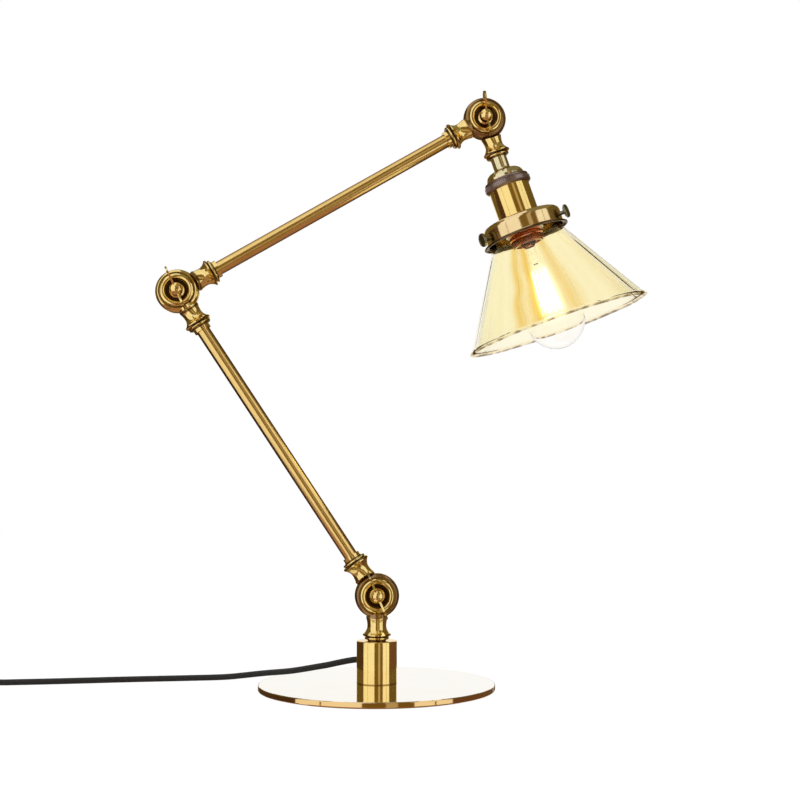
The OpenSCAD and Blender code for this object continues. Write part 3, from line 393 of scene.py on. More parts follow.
def plain_finish(name, low, high, rough, grain=2.0, metallic=0.0, relief=0.03, coat=0.0,
                 strength=0.3):
    """A finish whose colour wanders between two tones, with a grain of so many millimetres."""
    material, tree = new_material(name)
    vector = coordinates(tree)
    speck = stretched(tree, vector, (grain,) * 3, 3.0)
    roughness, normal = grained(tree, speck, rough * 0.85, rough * 1.15, strength, relief)
    shader = add(tree, "BsdfPrincipled", {
        "Base Color": ramp(tree, speck, 0.3, 0.7, [hex_rgba(low), hex_rgba(high)]),
        "Metallic": metallic,
        "Roughness": roughness,
        "Coat Weight": coat,
        "Normal": normal,
    })
    return surface(material, shader)


# How deep the shade's amber is at even angles, from its right side over its front to its left
STREAK_DEPTHS = (
    0, 0, 0, 0, 0.05, 0.1, 0.15, 0.15, 0.2, 0.25, 0.15, 0.05, 0.1, 0.05, 0.35, 0.65, 0.2, 0, 0.1,
    1, 0.35, 0.9, 0.1, 0, 0.1, 0.05, 0.05, 0, 0, 0, 0,
)


def amber_glass(settings):
    """Pressed soda glass with an amber tint in streaks down its front, and a painted line at its lip.

    The lip's end carries a grey-brown line, darker in places: painted shade for the rim's edge. It
    lets light through unbent.
    """
    material, tree = new_material("amber_pressed_glass")
    vector = coordinates(tree, HEAD_AXIS, HEAD_PIVOT)
    parts = add(tree, "SeparateXYZ", {0: vector}).outputs
    front = add(tree, "Math", {0: parts["Y"], 1: -1.0}, operation="MULTIPLY")
    angle = add(tree, "Math", {0: parts["X"], 1: front}, operation="ARCTAN2")
    drift = stretched(tree, vector, (30, 30, 25), 1.0)
    angle = add(tree, "Math", {0: drift, 1: 0.1, 2: angle}, operation="MULTIPLY_ADD")
    share = add(tree, "MapRange", {
        "Value": angle, "From Min": 0.05 - math.pi / 2, "From Max": 0.05 + math.pi / 2,
    })
    clear, amber = [Vector((*tint, 1.0)) for tint in (settings.glass_tint, settings.streak_tint)]
    tints = [tuple(clear.lerp(amber, depth)) for depth in STREAK_DEPTHS]
    waves = stretched(tree, vector, (14, 14, 40), 1.0)
    normal = add(tree, "Bump", {"Height": waves, "Strength": 0.1, "Distance": 0.3 * MM})
    glass = add(tree, "BsdfPrincipled", {
        "Base Color": ramp(tree, share, 0.0, 1.0, tints),
        "Roughness": 0.012,
        "IOR": 1.22,
        "Transmission Weight": 1.0,
        "Normal": normal,
    })
    end = stations("shade")[1]
    flat = add(tree, "VectorMath", {0: vector, 1: (1, 1, 0)}, operation="MULTIPLY")
    around = add(tree, "VectorMath", {0: flat}, operation="NORMALIZE")
    # A grey-brown line along the lip's end, broken by darker dashes: painted shade for the rim's edge
    rim_shade_dashes = add(tree, "TexNoise", {"Vector": around, "Scale": 9.0, "Detail": 2.0}).outputs["Fac"]
    rim_shade_start = add(tree, "MapRange", {
        "Value": rim_shade_dashes, "From Min": 0.35, "From Max": 0.65,
        "To Min": end - 0.9 * MM, "To Max": end - 0.1 * MM,
    })
    in_rim_shade = add(tree, "Math", {0: parts["Z"], 1: rim_shade_start}, operation="GREATER_THAN")
    line = ramp(tree, rim_shade_dashes, 0.4, 0.6, [hex_rgba(c) for c in ("#C4BAAC", "#E0D8CC", "#F8F4EC")])
    colour = add(tree, "Mix", {"Factor": in_rim_shade, 6: hex_rgba("#FDF6E2"), 7: line},
                 data_type="RGBA").outputs[2]
    edge = add(tree, "BsdfTransparent", {"Color": colour})
    lip = add(tree, "MapRange", {
        "Value": parts["Z"], "From Min": end - 2.0 * MM, "From Max": end - 1.5 * MM,
    })
    mix = add(tree, "MixShader", {0: lip, 1: glass, 2: edge})
    return surface(material, mix)


def clear_bulb_glass(glow_from=0.0, glow_to=0.0, strength=0.0):
    """Thin blown glass, clear, with a painted glow between two distances from the head's pivot."""
    material, tree = new_material("blown_bulb_glass")
    vector = coordinates(tree, HEAD_AXIS, HEAD_PIVOT)
    soot = stretched(tree, vector, (12, 12, 12), 1.0)
    settings = {
        "Base Color": ramp(tree, soot, 0.3, 0.7, [hex_rgba("#FFFDF8"), hex_rgba("#FFFFFF")]),
        "Roughness": 0.01,
        "IOR": 1.15,
        "Transmission Weight": 1.0,
    }
    if strength:
        # Emission on the glass itself, strongest across the filament's height and mid-face: a painted
        # glow for the filament's halo
        middle, half = (glow_from + glow_to) / 2, (glow_to - glow_from) / 2
        away = add(tree, "Math", {0: along(tree, vector), 1: middle}, operation="SUBTRACT")
        away = add(tree, "Math", {0: away}, operation="ABSOLUTE")
        lit = add(tree, "MapRange", {
            "Value": away, "From Min": half, "From Max": half * 0.3, "To Max": strength,
        }, interpolation_type="SMOOTHSTEP")
        aside = add(tree, "LayerWeight", {"Blend": 0.5}).outputs["Facing"]
        inner = add(tree, "MapRange", {"Value": aside, "From Min": 0.14, "From Max": 0.03})
        settings["Emission Color"] = hex_rgba("#FFF6D8")
        settings["Emission Strength"] = add(tree, "Math", {0: lit, 1: inner}, operation="MULTIPLY")
    return surface(material, add(tree, "BsdfPrincipled", settings))


def glowing_filament(settings):
    """Tungsten wire at a warm white heat, a little uneven along its length."""
    material, tree = new_material("hot_tungsten")
    vector = coordinates(tree)
    heat = stretched(tree, vector, (4, 4, 4), 1.0)
    shader = add(tree, "Emission", {
        "Color": ramp(tree, heat, 0.3, 0.7, [hex_rgba("#FFE9A0"), hex_rgba("#FFF6CC")]),
        "Strength": settings.glow,
    })
    return surface(material, shader)


def braided_cover():
    """Black rayon braid: two sets of flat strands that cross over and under round the cord.

    The real strands are about 0.8 mm wide. They are drawn 1.7 mm wide so that they show from a
    step away.
    """
    material, tree = new_material("braided_rayon_cover")
    uv = add(tree, "UVMap", uv_map="along")
    split = add(tree, "SeparateXYZ", {0: uv}).outputs
    lengthwise = add(tree, "Math", {0: split["Y"], 1: 1 / (1.7 * MM)}, operation="MULTIPLY")
    strands = []
    for turns in (8.0, -8.0):
        value = add(tree, "Math", {0: split["X"], 1: turns, 2: lengthwise},
                    operation="MULTIPLY_ADD")
        value = add(tree, "Math", {0: value, 1: math.pi}, operation="MULTIPLY")
        for operation in ("SINE", "ABSOLUTE"):
            value = add(tree, "Math", {0: value}, operation=operation)
        strands.append(value)
    weave = add(tree, "Math", {0: strands[0], 1: strands[1]}, operation="MULTIPLY")
    normal = add(tree, "Bump", {"Height": weave, "Strength": 0.8, "Distance": 0.3 * MM})
    shader = add(tree, "BsdfPrincipled", {
        "Base Color": ramp(tree, weave, 0.1, 0.9, [hex_rgba("#080808"), hex_rgba("#1E1E1F")]),
        "Roughness": 0.75,
        "Sheen Weight": 0.15,
        "Sheen Roughness": 0.5,
        "Normal": normal,
    })
    return surface(material, shader)


def glow(name, colour, strength=1.0):
    """A plain light-giving surface, for the studio's cards."""
    material, tree = new_material(name)
    light = add(tree, "Emission", {"Color": colour, "Strength": strength})
    return surface(material, light)


def brass_finishes():
    """The finishes of the brass nodes, by node."""
    # Castings tumbled smooth: an even sheen, with painted shade in the recessed web and under the
    # beads
    web_shade = (-1, 8.5, "#3A2410", 0.35)
    shade_under_beads = [(28.1, 29.5, "#5E4828", 0.22), (30.9, 32.3, "#5E4828", 0.22)]
    castings = ("#F4D98E", "#5E4020", 0.12, (2.5, 2.5, 2.5))
    # The band from 12.7 to 16.5 mm is painted shade on the swivels' outer shoulder
    cast = brass("tumbled_antique_brass", *castings, relief=0.001,
                 where=from_pivots, bands=[web_shade, (12.7, 16.5, "#9A7A50", 0.3), *shade_under_beads])
    # The band from 16.4 to 18.4 mm is a painted shade line in the gap beside the elbow's swivel
    cast_elbow = brass("tumbled_elbow_brass", *castings, relief=0.001,
                       where=from_pivots, bands=[web_shade, (16.4, 18.4, "#7A6038", 0.25), *shade_under_beads])
    # Turned and buffed: bright rings, with a dull line where the column meets the plate
    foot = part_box("column")[0][2] / MM
    turned = brass("turned_column_brass", "#F8DC8E", "#8A5A20", 0.09, (6, 6, 0.5), relief=0.002,
                   where=along, bands=[(foot - 2, foot + 0.9, "#A8843C", 0.2)])
    # Drawn through a die: long streaks of light, and painted shade in brown where the tube turns away
    lower_tube, upper_tube = [
        brass(name, "#EFCF86", "#8A5E24", 0.2, (2.5, 2.5, 90), axis, pivot,
              lacquer=0.1, edge="#A08050", relief=0.0004, outline=0.8)
        for name, axis, pivot in (("drawn_brass_lower", LOWER_AXIS, BASE_PIVOT),
                                  ("drawn_brass_upper", UPPER_AXIS, HEAD_PIVOT))]
    # Stamped: small even marks, with the wings darker olive and duller from 14.5 mm out
    wing = brass("stamped_wing_brass", "#F4D890", "#8A5E24", 0.14, (0.8, 0.8, 0.8), groove=0.4,
                 where=from_pivots, bands=[(14.5, 40, "#7A7050", 0.3)])
    # Spun over a former: fine rings round the lampholder, and painted shade on the gallery's lip
    on_head = {"grain": (6, 6, 0.6), "turn": HEAD_AXIS, "centre": HEAD_PIVOT}
    holder = brass("spun_holder_brass", "#F4D88A", "#7A4A14", 0.1, **on_head)
    gallery = brass("spun_gallery_brass", "#EFD6A2", "#5A3424", 0.12, **on_head,
                    where=along, bands=[(93.6, 97.0, "#5A4634", 0.3)])
    dome = brass("spun_cap_brass", "#E2D8B0", "#5A4620", 0.14, **on_head)
    # Blackened, left in the knurls with painted shade added there; worn grey and pale brass on top
    ring = brass("blackened_knurled_brass", "#9C8C88", "#4A3C38", 0.34, (2, 2, 2),
                 groove=0.5, reach=0.8, edge="#E8DCD4")
    thumb = brass("blackened_screw_brass", "#7A745C", "#2C2A20", 0.3, (0.8, 0.8, 0.8),
                  reach=1.5, edge="#E0DCCC")
    # Cut, stamped and rolled, without polish: duller, and hidden by what covers them
    thread = brass("cut_thread_brass", "#C8A458", "#6A4A20", 0.28, (1, 1, 0.4))
    contact = brass("stamped_contact_brass", "#D8B868", "#8A6A30", 0.22, (1, 1, 1), groove=0.4)
    # Rosy brass: its tone is partly the cap's own metal and partly painted warm light from the
    # filament
    bulb_cap = brass("rolled_cap_brass", "#D89480", "#9A4E3C", 0.24, (3, 3, 0.6), HEAD_AXIS,
                     HEAD_PIVOT)
    finishes = {
        "base_plate": plate_brass(), "column": turned, "column_nipple": thread,
        "base_swivel": cast, "lower_arm_foot": cast, "lower_arm_tube": lower_tube,
        "lower_arm_head": cast_elbow, "upper_arm_foot": cast_elbow, "upper_arm_tube": upper_tube,
        "upper_arm_head": cast, "head_swivel": cast, "head_nipple": thread, "holder_cap": dome,
        "holder_ring": ring, "holder_shell": holder, "screw_contact": contact,
        "centre_contact": contact, "gallery": gallery, "gallery_nut": gallery,
        "bulb_cap": bulb_cap,
    }
    for joint in ("base", "elbow", "head"):
        finishes[f"{joint}_clamp_screw"] = wing
        finishes[f"{joint}_clamp_nut"] = cast
    for side in ("left", "right", "back"):
        finishes[f"thumbscrew_{side}"] = thumb
    return finishes


def other_finishes():
    """The finishes of the other rigid nodes, by node."""
    # Plated in a bath: an even grey sheen, brighter on the blades
    steel = plain_finish("zinc_plated_steel", "#8E9094", "#A9ABAE", 0.35, 1.0, metallic=1.0)
    nickel = plain_finish("nickel_plated_brass", "#BDBBB4", "#D2D0C9", 0.18, 1.0, metallic=1.0)
    # Pressed wool, fibre and drawn-out plastic: no shine, and a soft, mottled or plain skin
    felt = plain_finish("pressed_wool_felt", "#101010", "#262626", 0.95, 0.6, relief=0.4,
                        strength=0.8)
    fibre = plain_finish("pressed_fibre_washer", "#4A2C1A", "#6E4428", 0.7, 0.5, relief=0.1)
    wire = plain_finish("extruded_wire_insulation", "#181818", "#202020", 0.45, 3.0)
    bushing = plain_finish("moulded_nylon_bushing", "#0E0E0E", "#161616", 0.5, 1.5)
    # Fired glaze: creamy white under a smooth, wet-looking coat
    porcelain = plain_finish("glazed_porcelain", "#E9E4D6", "#F3EFE4", 0.25, 4.0, coat=0.8)
    # Moulded: black with the mould's own half gloss, and the plug's vinyl softer and duller
    case = plain_finish("moulded_bakelite_case", "#0C0C0C", "#141414", 0.3, 0.5, coat=0.3)
    rocker = plain_finish("moulded_rocker_key", "#151515", "#1C1C1C", 0.24, 0.5, coat=0.3)
    plug = plain_finish("moulded_soft_vinyl", "#0F0F0F", "#171717", 0.5, 0.6)
    finishes = {
        "base_pad": felt, "column_foot": steel, "column_screw": steel, "nipple_nut": steel,
        "cord_bushing": bushing, "holder_core": porcelain, "bulb_mount": clear_bulb_glass(),
        "switch_base": case, "switch_cover": case, "switch_rocker": rocker, "plug_body": plug,
        "plug_blades": nickel,
    }
    for run in ("base", "lower_arm", "upper_arm", "head"):
        finishes[f"{run}_wires"] = wire
    for joint in ("base", "elbow", "head"):
        finishes[f"{joint}_clamp_washer"] = fibre
    return finishes


# The cord


# Points that the cord passes, in millimetres
LEAD_ROUTE = [
    (-8, 2.14, 20.3), (-15.5, 4.15, 20.3), (-26, 7.2, 18.2), (-35, 10.2, 16), (-44, 14.4, 14),
    (-53, 20, 11.8), (-62, 26.6, 9.7), (-70, 32.8, 8.2), (-79, 38.8, 6.8), (-88, 43.4, 5.4),
    (-98, 46.6, 4), (-109, 48.6, 2.8), (-121, 49.2, 2.3), (-134, 48.6, 2.2), (-147, 47.4, 2.2),
    (-160, 46.3, 2.2), (-173, 45.3, 2.2), (-186, 44, 2.2), (-199, 42.6, 2.2), (-212, 41, 2.2),
    (-225, 39.5, 2.2), (-238, 38.1, 2.2), (-250, 37, 2.2), (-262, 36.2, 2.2), (-273, 35.6, 2.2),
    (-283, 35.2, 3), (-292, 35, 4.8), (-300, 35, 6), (-304, 35, 6),
]
LINK_ROUTE = [
    (-354, 35, 6), (-358, 35, 6), (-364, 35, 6), (-372, 33.6, 4.2), (-380, 28.5, 2.6),
    (-386, 21, 2.2), (-389.4, 11, 2.2), (-390.2, 0, 2.2), (-390.2, -6.6, 2.2),
]
TAIL_ROUTE = [
    (-390.2, -25.4, 16.9), (-390.2, -35, 15.9), (-390, -45, 12.8), (-389, -55, 8.8), (-386, -64, 5.2),
    (-380, -72, 3), (-371, -77, 3), (-361, -79, 4.8), (-352, -79.5, 6.8), (-344, -79.5, 7.5),
]


def coil_route(cord):
    """The coil's turns, in millimetres: they spiral in and out in turn, a layer higher each time."""
    width, layers, turns = cord.diameter / MM, cord.coil_layers, cord.coil_turns
    step, outer = width + cord.coil_gap / MM, cord.coil_radius / MM
    centre_x, centre_y = COIL_CENTRE

    def radius(u):
        layer = math.floor(u / turns)
        turned = u - layer * turns
        return outer - step * (turned if layer % 2 == 0 else turns - turned)

    def height(u):
        """The cord climbs to a layer from a quarter turn before its start to a quarter after."""
        layer = round(u / turns)
        turned = u - layer * turns
        level = min(layer, layers - 1)
        if layer < 1 or layer >= layers or turned > 0.25:
            return width / 2 + step * level
        if turned < -0.25:
            return width / 2 + step * (level - 1)
        return width / 2 + step * (level + (math.sin(2 * math.pi * turned) - 1) / 2)

    rings = 24
    points = [(centre_x - outer, centre_y + width, width / 2)]
    for i in range(rings * turns * layers + 1):
        u = i / rings
        angle = math.pi + 2 * math.pi * u
        points.append((centre_x + radius(u) * math.cos(angle),
                       centre_y + radius(u) * math.sin(angle), height(u)))
    points.append((centre_x - outer, centre_y - width, width / 2 + step * (layers - 1)))
    return points


def rounded_line(points, step):
    """A smooth line through points, with its own points about step apart (Catmull-Rom)."""
    points = [Vector(p) for p in points]
    line = [points[0]]
    for k in range(len(points) - 1):
        before, here = points[max(k - 1, 0)], points[k]
        there, after = points[k + 1], points[min(k + 2, len(points) - 1)]
        pieces = max(1, round((there - here).length / step))
        for i in range(1, pieces + 1):
            t = i / pieces
            line.append(0.5 * (2 * here + (there - before) * t
                               + (2 * before - 5 * here + 4 * there - after) * t * t
                               + (3 * here - before - 3 * there + after) * t ** 3))
    return line


def cord_tube(name, line, diameter, sides=16):
    """A closed tube along a line, with a UV map that runs once round it and in metres along it."""
    mesh = bmesh.new()
    uv = mesh.loops.layers.uv.new("along")
    side = Vector((0, 0, 1)).cross(line[1] - line[0]).normalized()
    rings, run = [], [0.0]
    angles = [2 * math.pi * j / sides for j in range(sides)]
    for i, point in enumerate(line):
        ahead = (line[min(i + 1, len(line) - 1)] - line[max(i - 1, 0)]).normalized()
        side = (side - ahead * side.dot(ahead)).normalized()
        up = ahead.cross(side)
        rings.append([mesh.verts.new(point + diameter / 2 * (math.cos(a) * side + math.sin(a) * up))
                      for a in angles])
        if i:
            run.append(run[-1] + (point - line[i - 1]).length)
    for i in range(len(line) - 1):
        for j in range(sides):
            k = (j + 1) % sides
            face = mesh.faces.new((rings[i][j], rings[i][k], rings[i + 1][k], rings[i + 1][j]))
            face.smooth = True
            corners = ((j, i), (j + 1, i), (j + 1, i + 1), (j, i + 1))
            for loop, (round_at, ring_at) in zip(face.loops, corners):
                loop[uv].uv = (round_at / sides, run[ring_at])
    mesh.faces.new(list(reversed(rings[0])))
    mesh.faces.new(rings[-1])
    data = bpy.data.meshes.new(name)
    mesh.to_mesh(data)
    mesh.free()
    piece = bpy.data.objects.new(name, data)
    bpy.context.scene.collection.objects.link(piece)
    return piece


# Settings


def length_setting(name, description, default, low, high):
    """A setting for a length, with its default and limits in millimetres."""
    return FloatProperty(name=name, description=description, default=default * MM,
                         min=low * MM, max=high * MM, unit="LENGTH", precision=4)


def tint_setting(name, description, code):
    """A setting for a colour."""
    return FloatVectorProperty(name=name, description=description, default=hex_rgb(code),
                               subtype="COLOR", min=0, max=1)


class CordSettings(bpy.types.PropertyGroup):
    """The braided cord and its coil"""
    diameter: length_setting("Diameter", "Outer diameter of the braided cord", 4.4, 3, 7)
    coil_radius: length_setting("Coil radius", "Radius of the outer turn's middle", 30.2, 20, 60)
    coil_gap: length_setting("Coil gap", "Space between neighbouring turns", 0.5, 0, 3)
    coil_layers: IntProperty(name="Layers", description="Layers of turns in the coil",
                             default=4, min=2, max=4)
    coil_turns: IntProperty(name="Turns", description="Turns in each layer", default=2, min=1, max=4)
    tie_width: length_setting("Tie width", "Width of the strap that holds the coil", 9, 4, 20)


class GlassSettings(bpy.types.PropertyGroup):
    """The fluted glass shade"""
    wall: length_setting("Glass", "Thickness of the shade's glass", 2.6, 1.5, 4)
    flutes: IntProperty(name="Flutes", description="Lobes round the shade", default=10, min=6, max=16)
    flute_depth: length_setting("Flute depth", "How far the lobes swell at the mouth", 1.7, 0, 4)
    glass_tint: tint_setting("Tint", "Colour of the light that the glass lets through", "#FFFAE0")
    streak_tint: tint_setting("Streaks", "Colour of the light through the amber streaks", "#F0CC66")


class BulbSettings(bpy.types.PropertyGroup):
    """The lit bulb"""
    radius: length_setting("Bulb radius", "Radius of the glass at its widest", 22, 15, 30)
    wall: length_setting("Glass", "Thickness of the bulb's glass", 0.8, 0.4, 1.5)
    glow: FloatProperty(name="Glow", description="Light strength of the filament",
                        default=6.0, min=0, max=50)


class StudioSettings(bpy.types.PropertyGroup):
    """Camera, floor and lights"""
    lens: FloatProperty(name="Lens", description="Focal length",
                        default=50.17, min=20, max=200, subtype="DISTANCE_CAMERA")
    floor: FloatProperty(name="Floor", description="Width of the floor",
                         default=12.0, min=1, max=50, unit="LENGTH")
    fill: FloatProperty(name="Fill", description="Level of the even light on matt surfaces",
                        default=0.55, min=0, max=1)
    key: FloatProperty(name="Key", description="Power of the soft key lamp",
                       default=14.0, min=0, max=200, unit="POWER")


# Operators


class LAMP_OT_studio(bpy.types.Operator):
    """Sets up the camera, the pale floor, the soft lamps and the studio's dark and pale cards"""
    bl_idname = "lamp.studio"
    bl_label = "Studio"

    def execute(self, context):
        studio = context.scene.lamp_studio
        self.camera(context, studio)
        self.world(context, studio)
        self.floor(studio)
        self.lamps(studio)
        self.cards()
        context.scene.view_settings.view_transform = "Standard"
        return {"FINISHED"}

    def camera(self, context, studio):
        deselect()
        bpy.ops.object.camera_add(location=CAMERA_PLACE,
                                  rotation=(math.pi / 2 + CAMERA_UP, 0, -CAMERA_RIGHT))
        camera = active("camera")
        camera.data.lens = studio.lens
        camera.data.sensor_width = 36.0
        context.scene.camera = camera

    def world(self, context, studio):
        """White to the camera, to metal and to glass, and a plain even level on matt surfaces."""
        world = bpy.data.worlds.new("studio")
        world.use_nodes = True
        tree = world.node_tree
        tree.nodes.clear()
        level = add(tree, "MapRange", {
            "Value": seen_directly(tree), "To Min": studio.fill, "To Max": 1.0,
        })
        background = add(tree, "Background", {"Color": (1, 1, 1, 1), "Strength": level})
        add(tree, "OutputWorld", {"Surface": background})
        context.scene.world = world

    def floor(self, studio):
        """Matt white paper, to the camera, metal and glass nearly as white as the world behind it."""
        deselect()
        bpy.ops.mesh.primitive_plane_add(size=studio.floor, location=(0, 0, 0))
        floor = active("floor")
        material, tree = new_material("matt_white_paper")
        paper = add(tree, "BsdfDiffuse", {"Color": hex_rgba("#F4F3F1"), "Roughness": 0.5})
        white = add(tree, "Emission", {"Color": (1, 1, 1, 1), "Strength": 1.05})
        share = add(tree, "Math", {0: seen_directly(tree), 1: 0.9}, operation="MULTIPLY")
        mix = add(tree, "MixShader", {0: share, 1: paper, 2: white})
        floor.data.materials.append(surface(material, mix))
        floor.visible_glossy = False

    def lamps(self, studio):
        for name, place_at, size, power in (
            ("key", (-0.9, -1.1, 1.3), 1.2, studio.key),
            ("fill", (1.3, -0.8, 0.8), 1.4, studio.key * 0.5),
            ("top", (0.1, 0.3, 1.6), 1.2, studio.key * 0.5),
        ):
            deselect()
            bpy.ops.object.light_add(type="AREA", location=place_at)
            lamp = active(name)
            lamp.data.shape = "SQUARE"
            lamp.data.size = size
            lamp.data.energy = power
            aim = LIT_POINT - Vector(place_at)
            lamp.rotation_euler = aim.to_track_quat("-Z", "Y").to_euler()
            lamp.visible_glossy = False

    def cards(self):
        """Cards that only metal and glass reflect, by their angles round the lamp to the right.

        Pale ones stand in front to both sides. Dark ones stand between them, to the sides and high
        behind, and a window of the white background stays open straight behind the lamp.
        """
        pale, faint = (1.0, 0.985, 0.95, 1.0), hex_rgba("#C4B494")
        dim, dark = hex_rgba("#7E6430"), hex_rgba("#4E3A26")
        olive, brown = hex_rgba("#6E5E36"), hex_rgba("#6E5038")
        for name, start, end, low, high, colour in (
            ("card_left", -158, -81, -60, 0.5, dark),
            ("card_left_high", -158, -81, 0.6, 60, olive),
            ("card_right", 75, 150, -60, 0.5, brown),
            ("card_right_above", 75, 150, 0.6, 60, olive),
            ("card_front_left", -12.5, 9.5, -50, 50, dim),
            ("card_seam_front", 9.6, 19.9, -50, 50, faint),
            ("card_front_right", 20, 35.5, -50, 50, dim),
            ("card_pale_left", -80, -53, -28, 48, pale),
            ("card_pale_front", -51.5, -12.6, -28, 48, pale),
            ("card_pale_right", 35.6, 55.5, -28, 40, pale),
            ("card_pale_far_right", 57, 74, -28, 40, pale),
            ("card_seam_left", -53, -51.5, -28, 48, dim),
            ("card_seam_right", 55.5, 57, -28, 40, dim),
            ("card_right_high", 35.6, 74, 41, 66, brown),
            ("card_right_low", 35.6, 74, -62, -29, dim),
            ("card_back_high", 151, 209, 24, 66, olive),
            ("card_back_low", 151, 202, -60, -1.5, olive),
        ):
            self.card(name, start, end, low, high, colour, 1.1 if colour is pale else 1.0)
        self.lid("card_above_left", 2.3, (-1.2, 0), (1.8, 4.4), pale)
        self.lid("card_above_right", 2.3, (1.2, 0), (2.6, 4.4), hex_rgba("#8E8460"))
        self.lid("card_below", -1.1, (0, 0), (4.2, 4.2), hex_rgba("#A8806C"))

    def lid(self, name, height, centre, size, colour):
        """A level card above or below the lamp."""
        deselect()
        bpy.ops.mesh.primitive_plane_add(size=1, location=(*centre, height))
        piece = active(name)
        resize(piece, (*size, 1))
        self.only_reflected(piece, colour, 1.0)

    def only_reflected(self, piece, colour, strength):
        piece.data.materials.append(glow(f"{piece.name}_paper", colour, strength))
        piece.visible_camera = piece.visible_diffuse = piece.visible_shadow = False
        piece.visible_transmission = piece.visible_volume_scatter = False

    def card(self, name, start, end, low, high, colour, strength, distance=1.8):
        """A flat card that covers a range of angles round the lamp and of heights, in degrees."""
        middle = math.radians((start + end) / 2 - CARD_TURN)
        half = math.radians((end - start) / 2)
        bottom, top = [distance * math.tan(math.radians(angle)) for angle in (low, high)]
        away = Vector((math.sin(middle), -math.cos(middle), 0)) * distance
        raised = Vector((0, 0, (bottom + top) / 2))
        deselect()
        bpy.ops.mesh.primitive_plane_add(size=1, location=CARD_CENTRE + away + raised,
                                         rotation=(math.pi / 2, 0, middle))
        piece = active(name)
        resize(piece, (2 * distance * math.tan(half), top - bottom, 1))
        self.only_reflected(piece, colour, strength)


class LAMP_OT_cord(bpy.types.Operator):
    """Lays the braided cord from the column through the switch and its coil to the plug"""
    bl_idname = "lamp.cord"
    bl_label = "Cord"

    def execute(self, context):
        cord = context.scene.lamp_cord
        cover = braided_cover()
        step = 2.2 * MM

        lead_line = rounded_line([Vector(p) * MM for p in LEAD_ROUTE], step)
        lead = cord_tube("lead_cord", lead_line, cord.diameter)
        finish_piece(lead, "base", cover)
        lead.visible_glossy = False  # the photograph's plate doesn't mirror the cord
        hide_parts("cord_lead")

        far_points = [Vector(p) * MM for p in LINK_ROUTE + coil_route(cord) + TAIL_ROUTE]
        far_line = rounded_line(far_points, step)
        far = cord_tube("coiled_cord", far_line, cord.diameter)
        finish_piece(far, "base", cover)
        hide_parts("cord_link", "cord_coil", "cord_tail")
        tie = self.tie(cord)
        return {"FINISHED"}

    def tie(self, cord):
        """A strap of hook tape round the coil, where its turns stand in a neat stack."""
        width, step = cord.diameter, cord.diameter + cord.coil_gap
        inner = cord.coil_radius - step * (cord.coil_turns - 0.5)
        outer = cord.coil_radius - step * 0.5
        top = width + step * (cord.coil_layers - 1)
        play, off_table = 0.3 * MM, 1.0 * MM
        x, y = [c * MM for c in COIL_CENTRE]
        low = Vector((x + inner - width / 2 - play, y - cord.tie_width / 2, off_table))
        high = Vector((x + outer + width / 2 + play, y + cord.tie_width / 2, top + play))
        deselect()
        bpy.ops.mesh.primitive_cube_add(size=1, location=(low + high) / 2)
        strap = active("coil_tie")
        resize(strap, high - low)
        bpy.ops.object.mode_set(mode="EDIT")
        select_where(strap, lambda face: abs(face.normal.y) > 0.9, "faces")
        bpy.ops.mesh.delete(type="ONLY_FACE")
        select_where(strap, lambda edge: abs((edge.verts[0].co - edge.verts[1].co).y) > width, "edges")
        bpy.ops.mesh.bevel(offset=width * 0.45, segments=6)
        bpy.ops.object.mode_set(mode="OBJECT")
        apply_modifier(strap, "SOLIDIFY", thickness=0.9 * MM, offset=1.0, use_even_offset=True)
        apply_modifier(strap, "BEVEL", width=0.2 * MM, segments=2, limit_method="ANGLE",
                       angle_limit=math.radians(60))
        smooth(strap, 40)
        # Woven hooks and loops: a dull black nap
        tape = plain_finish("woven_hook_tape", "#141414", "#242424", 0.9, 0.8, relief=0.3,
                            strength=0.9)
        finish_piece(strap, "base", tape)
        return strap


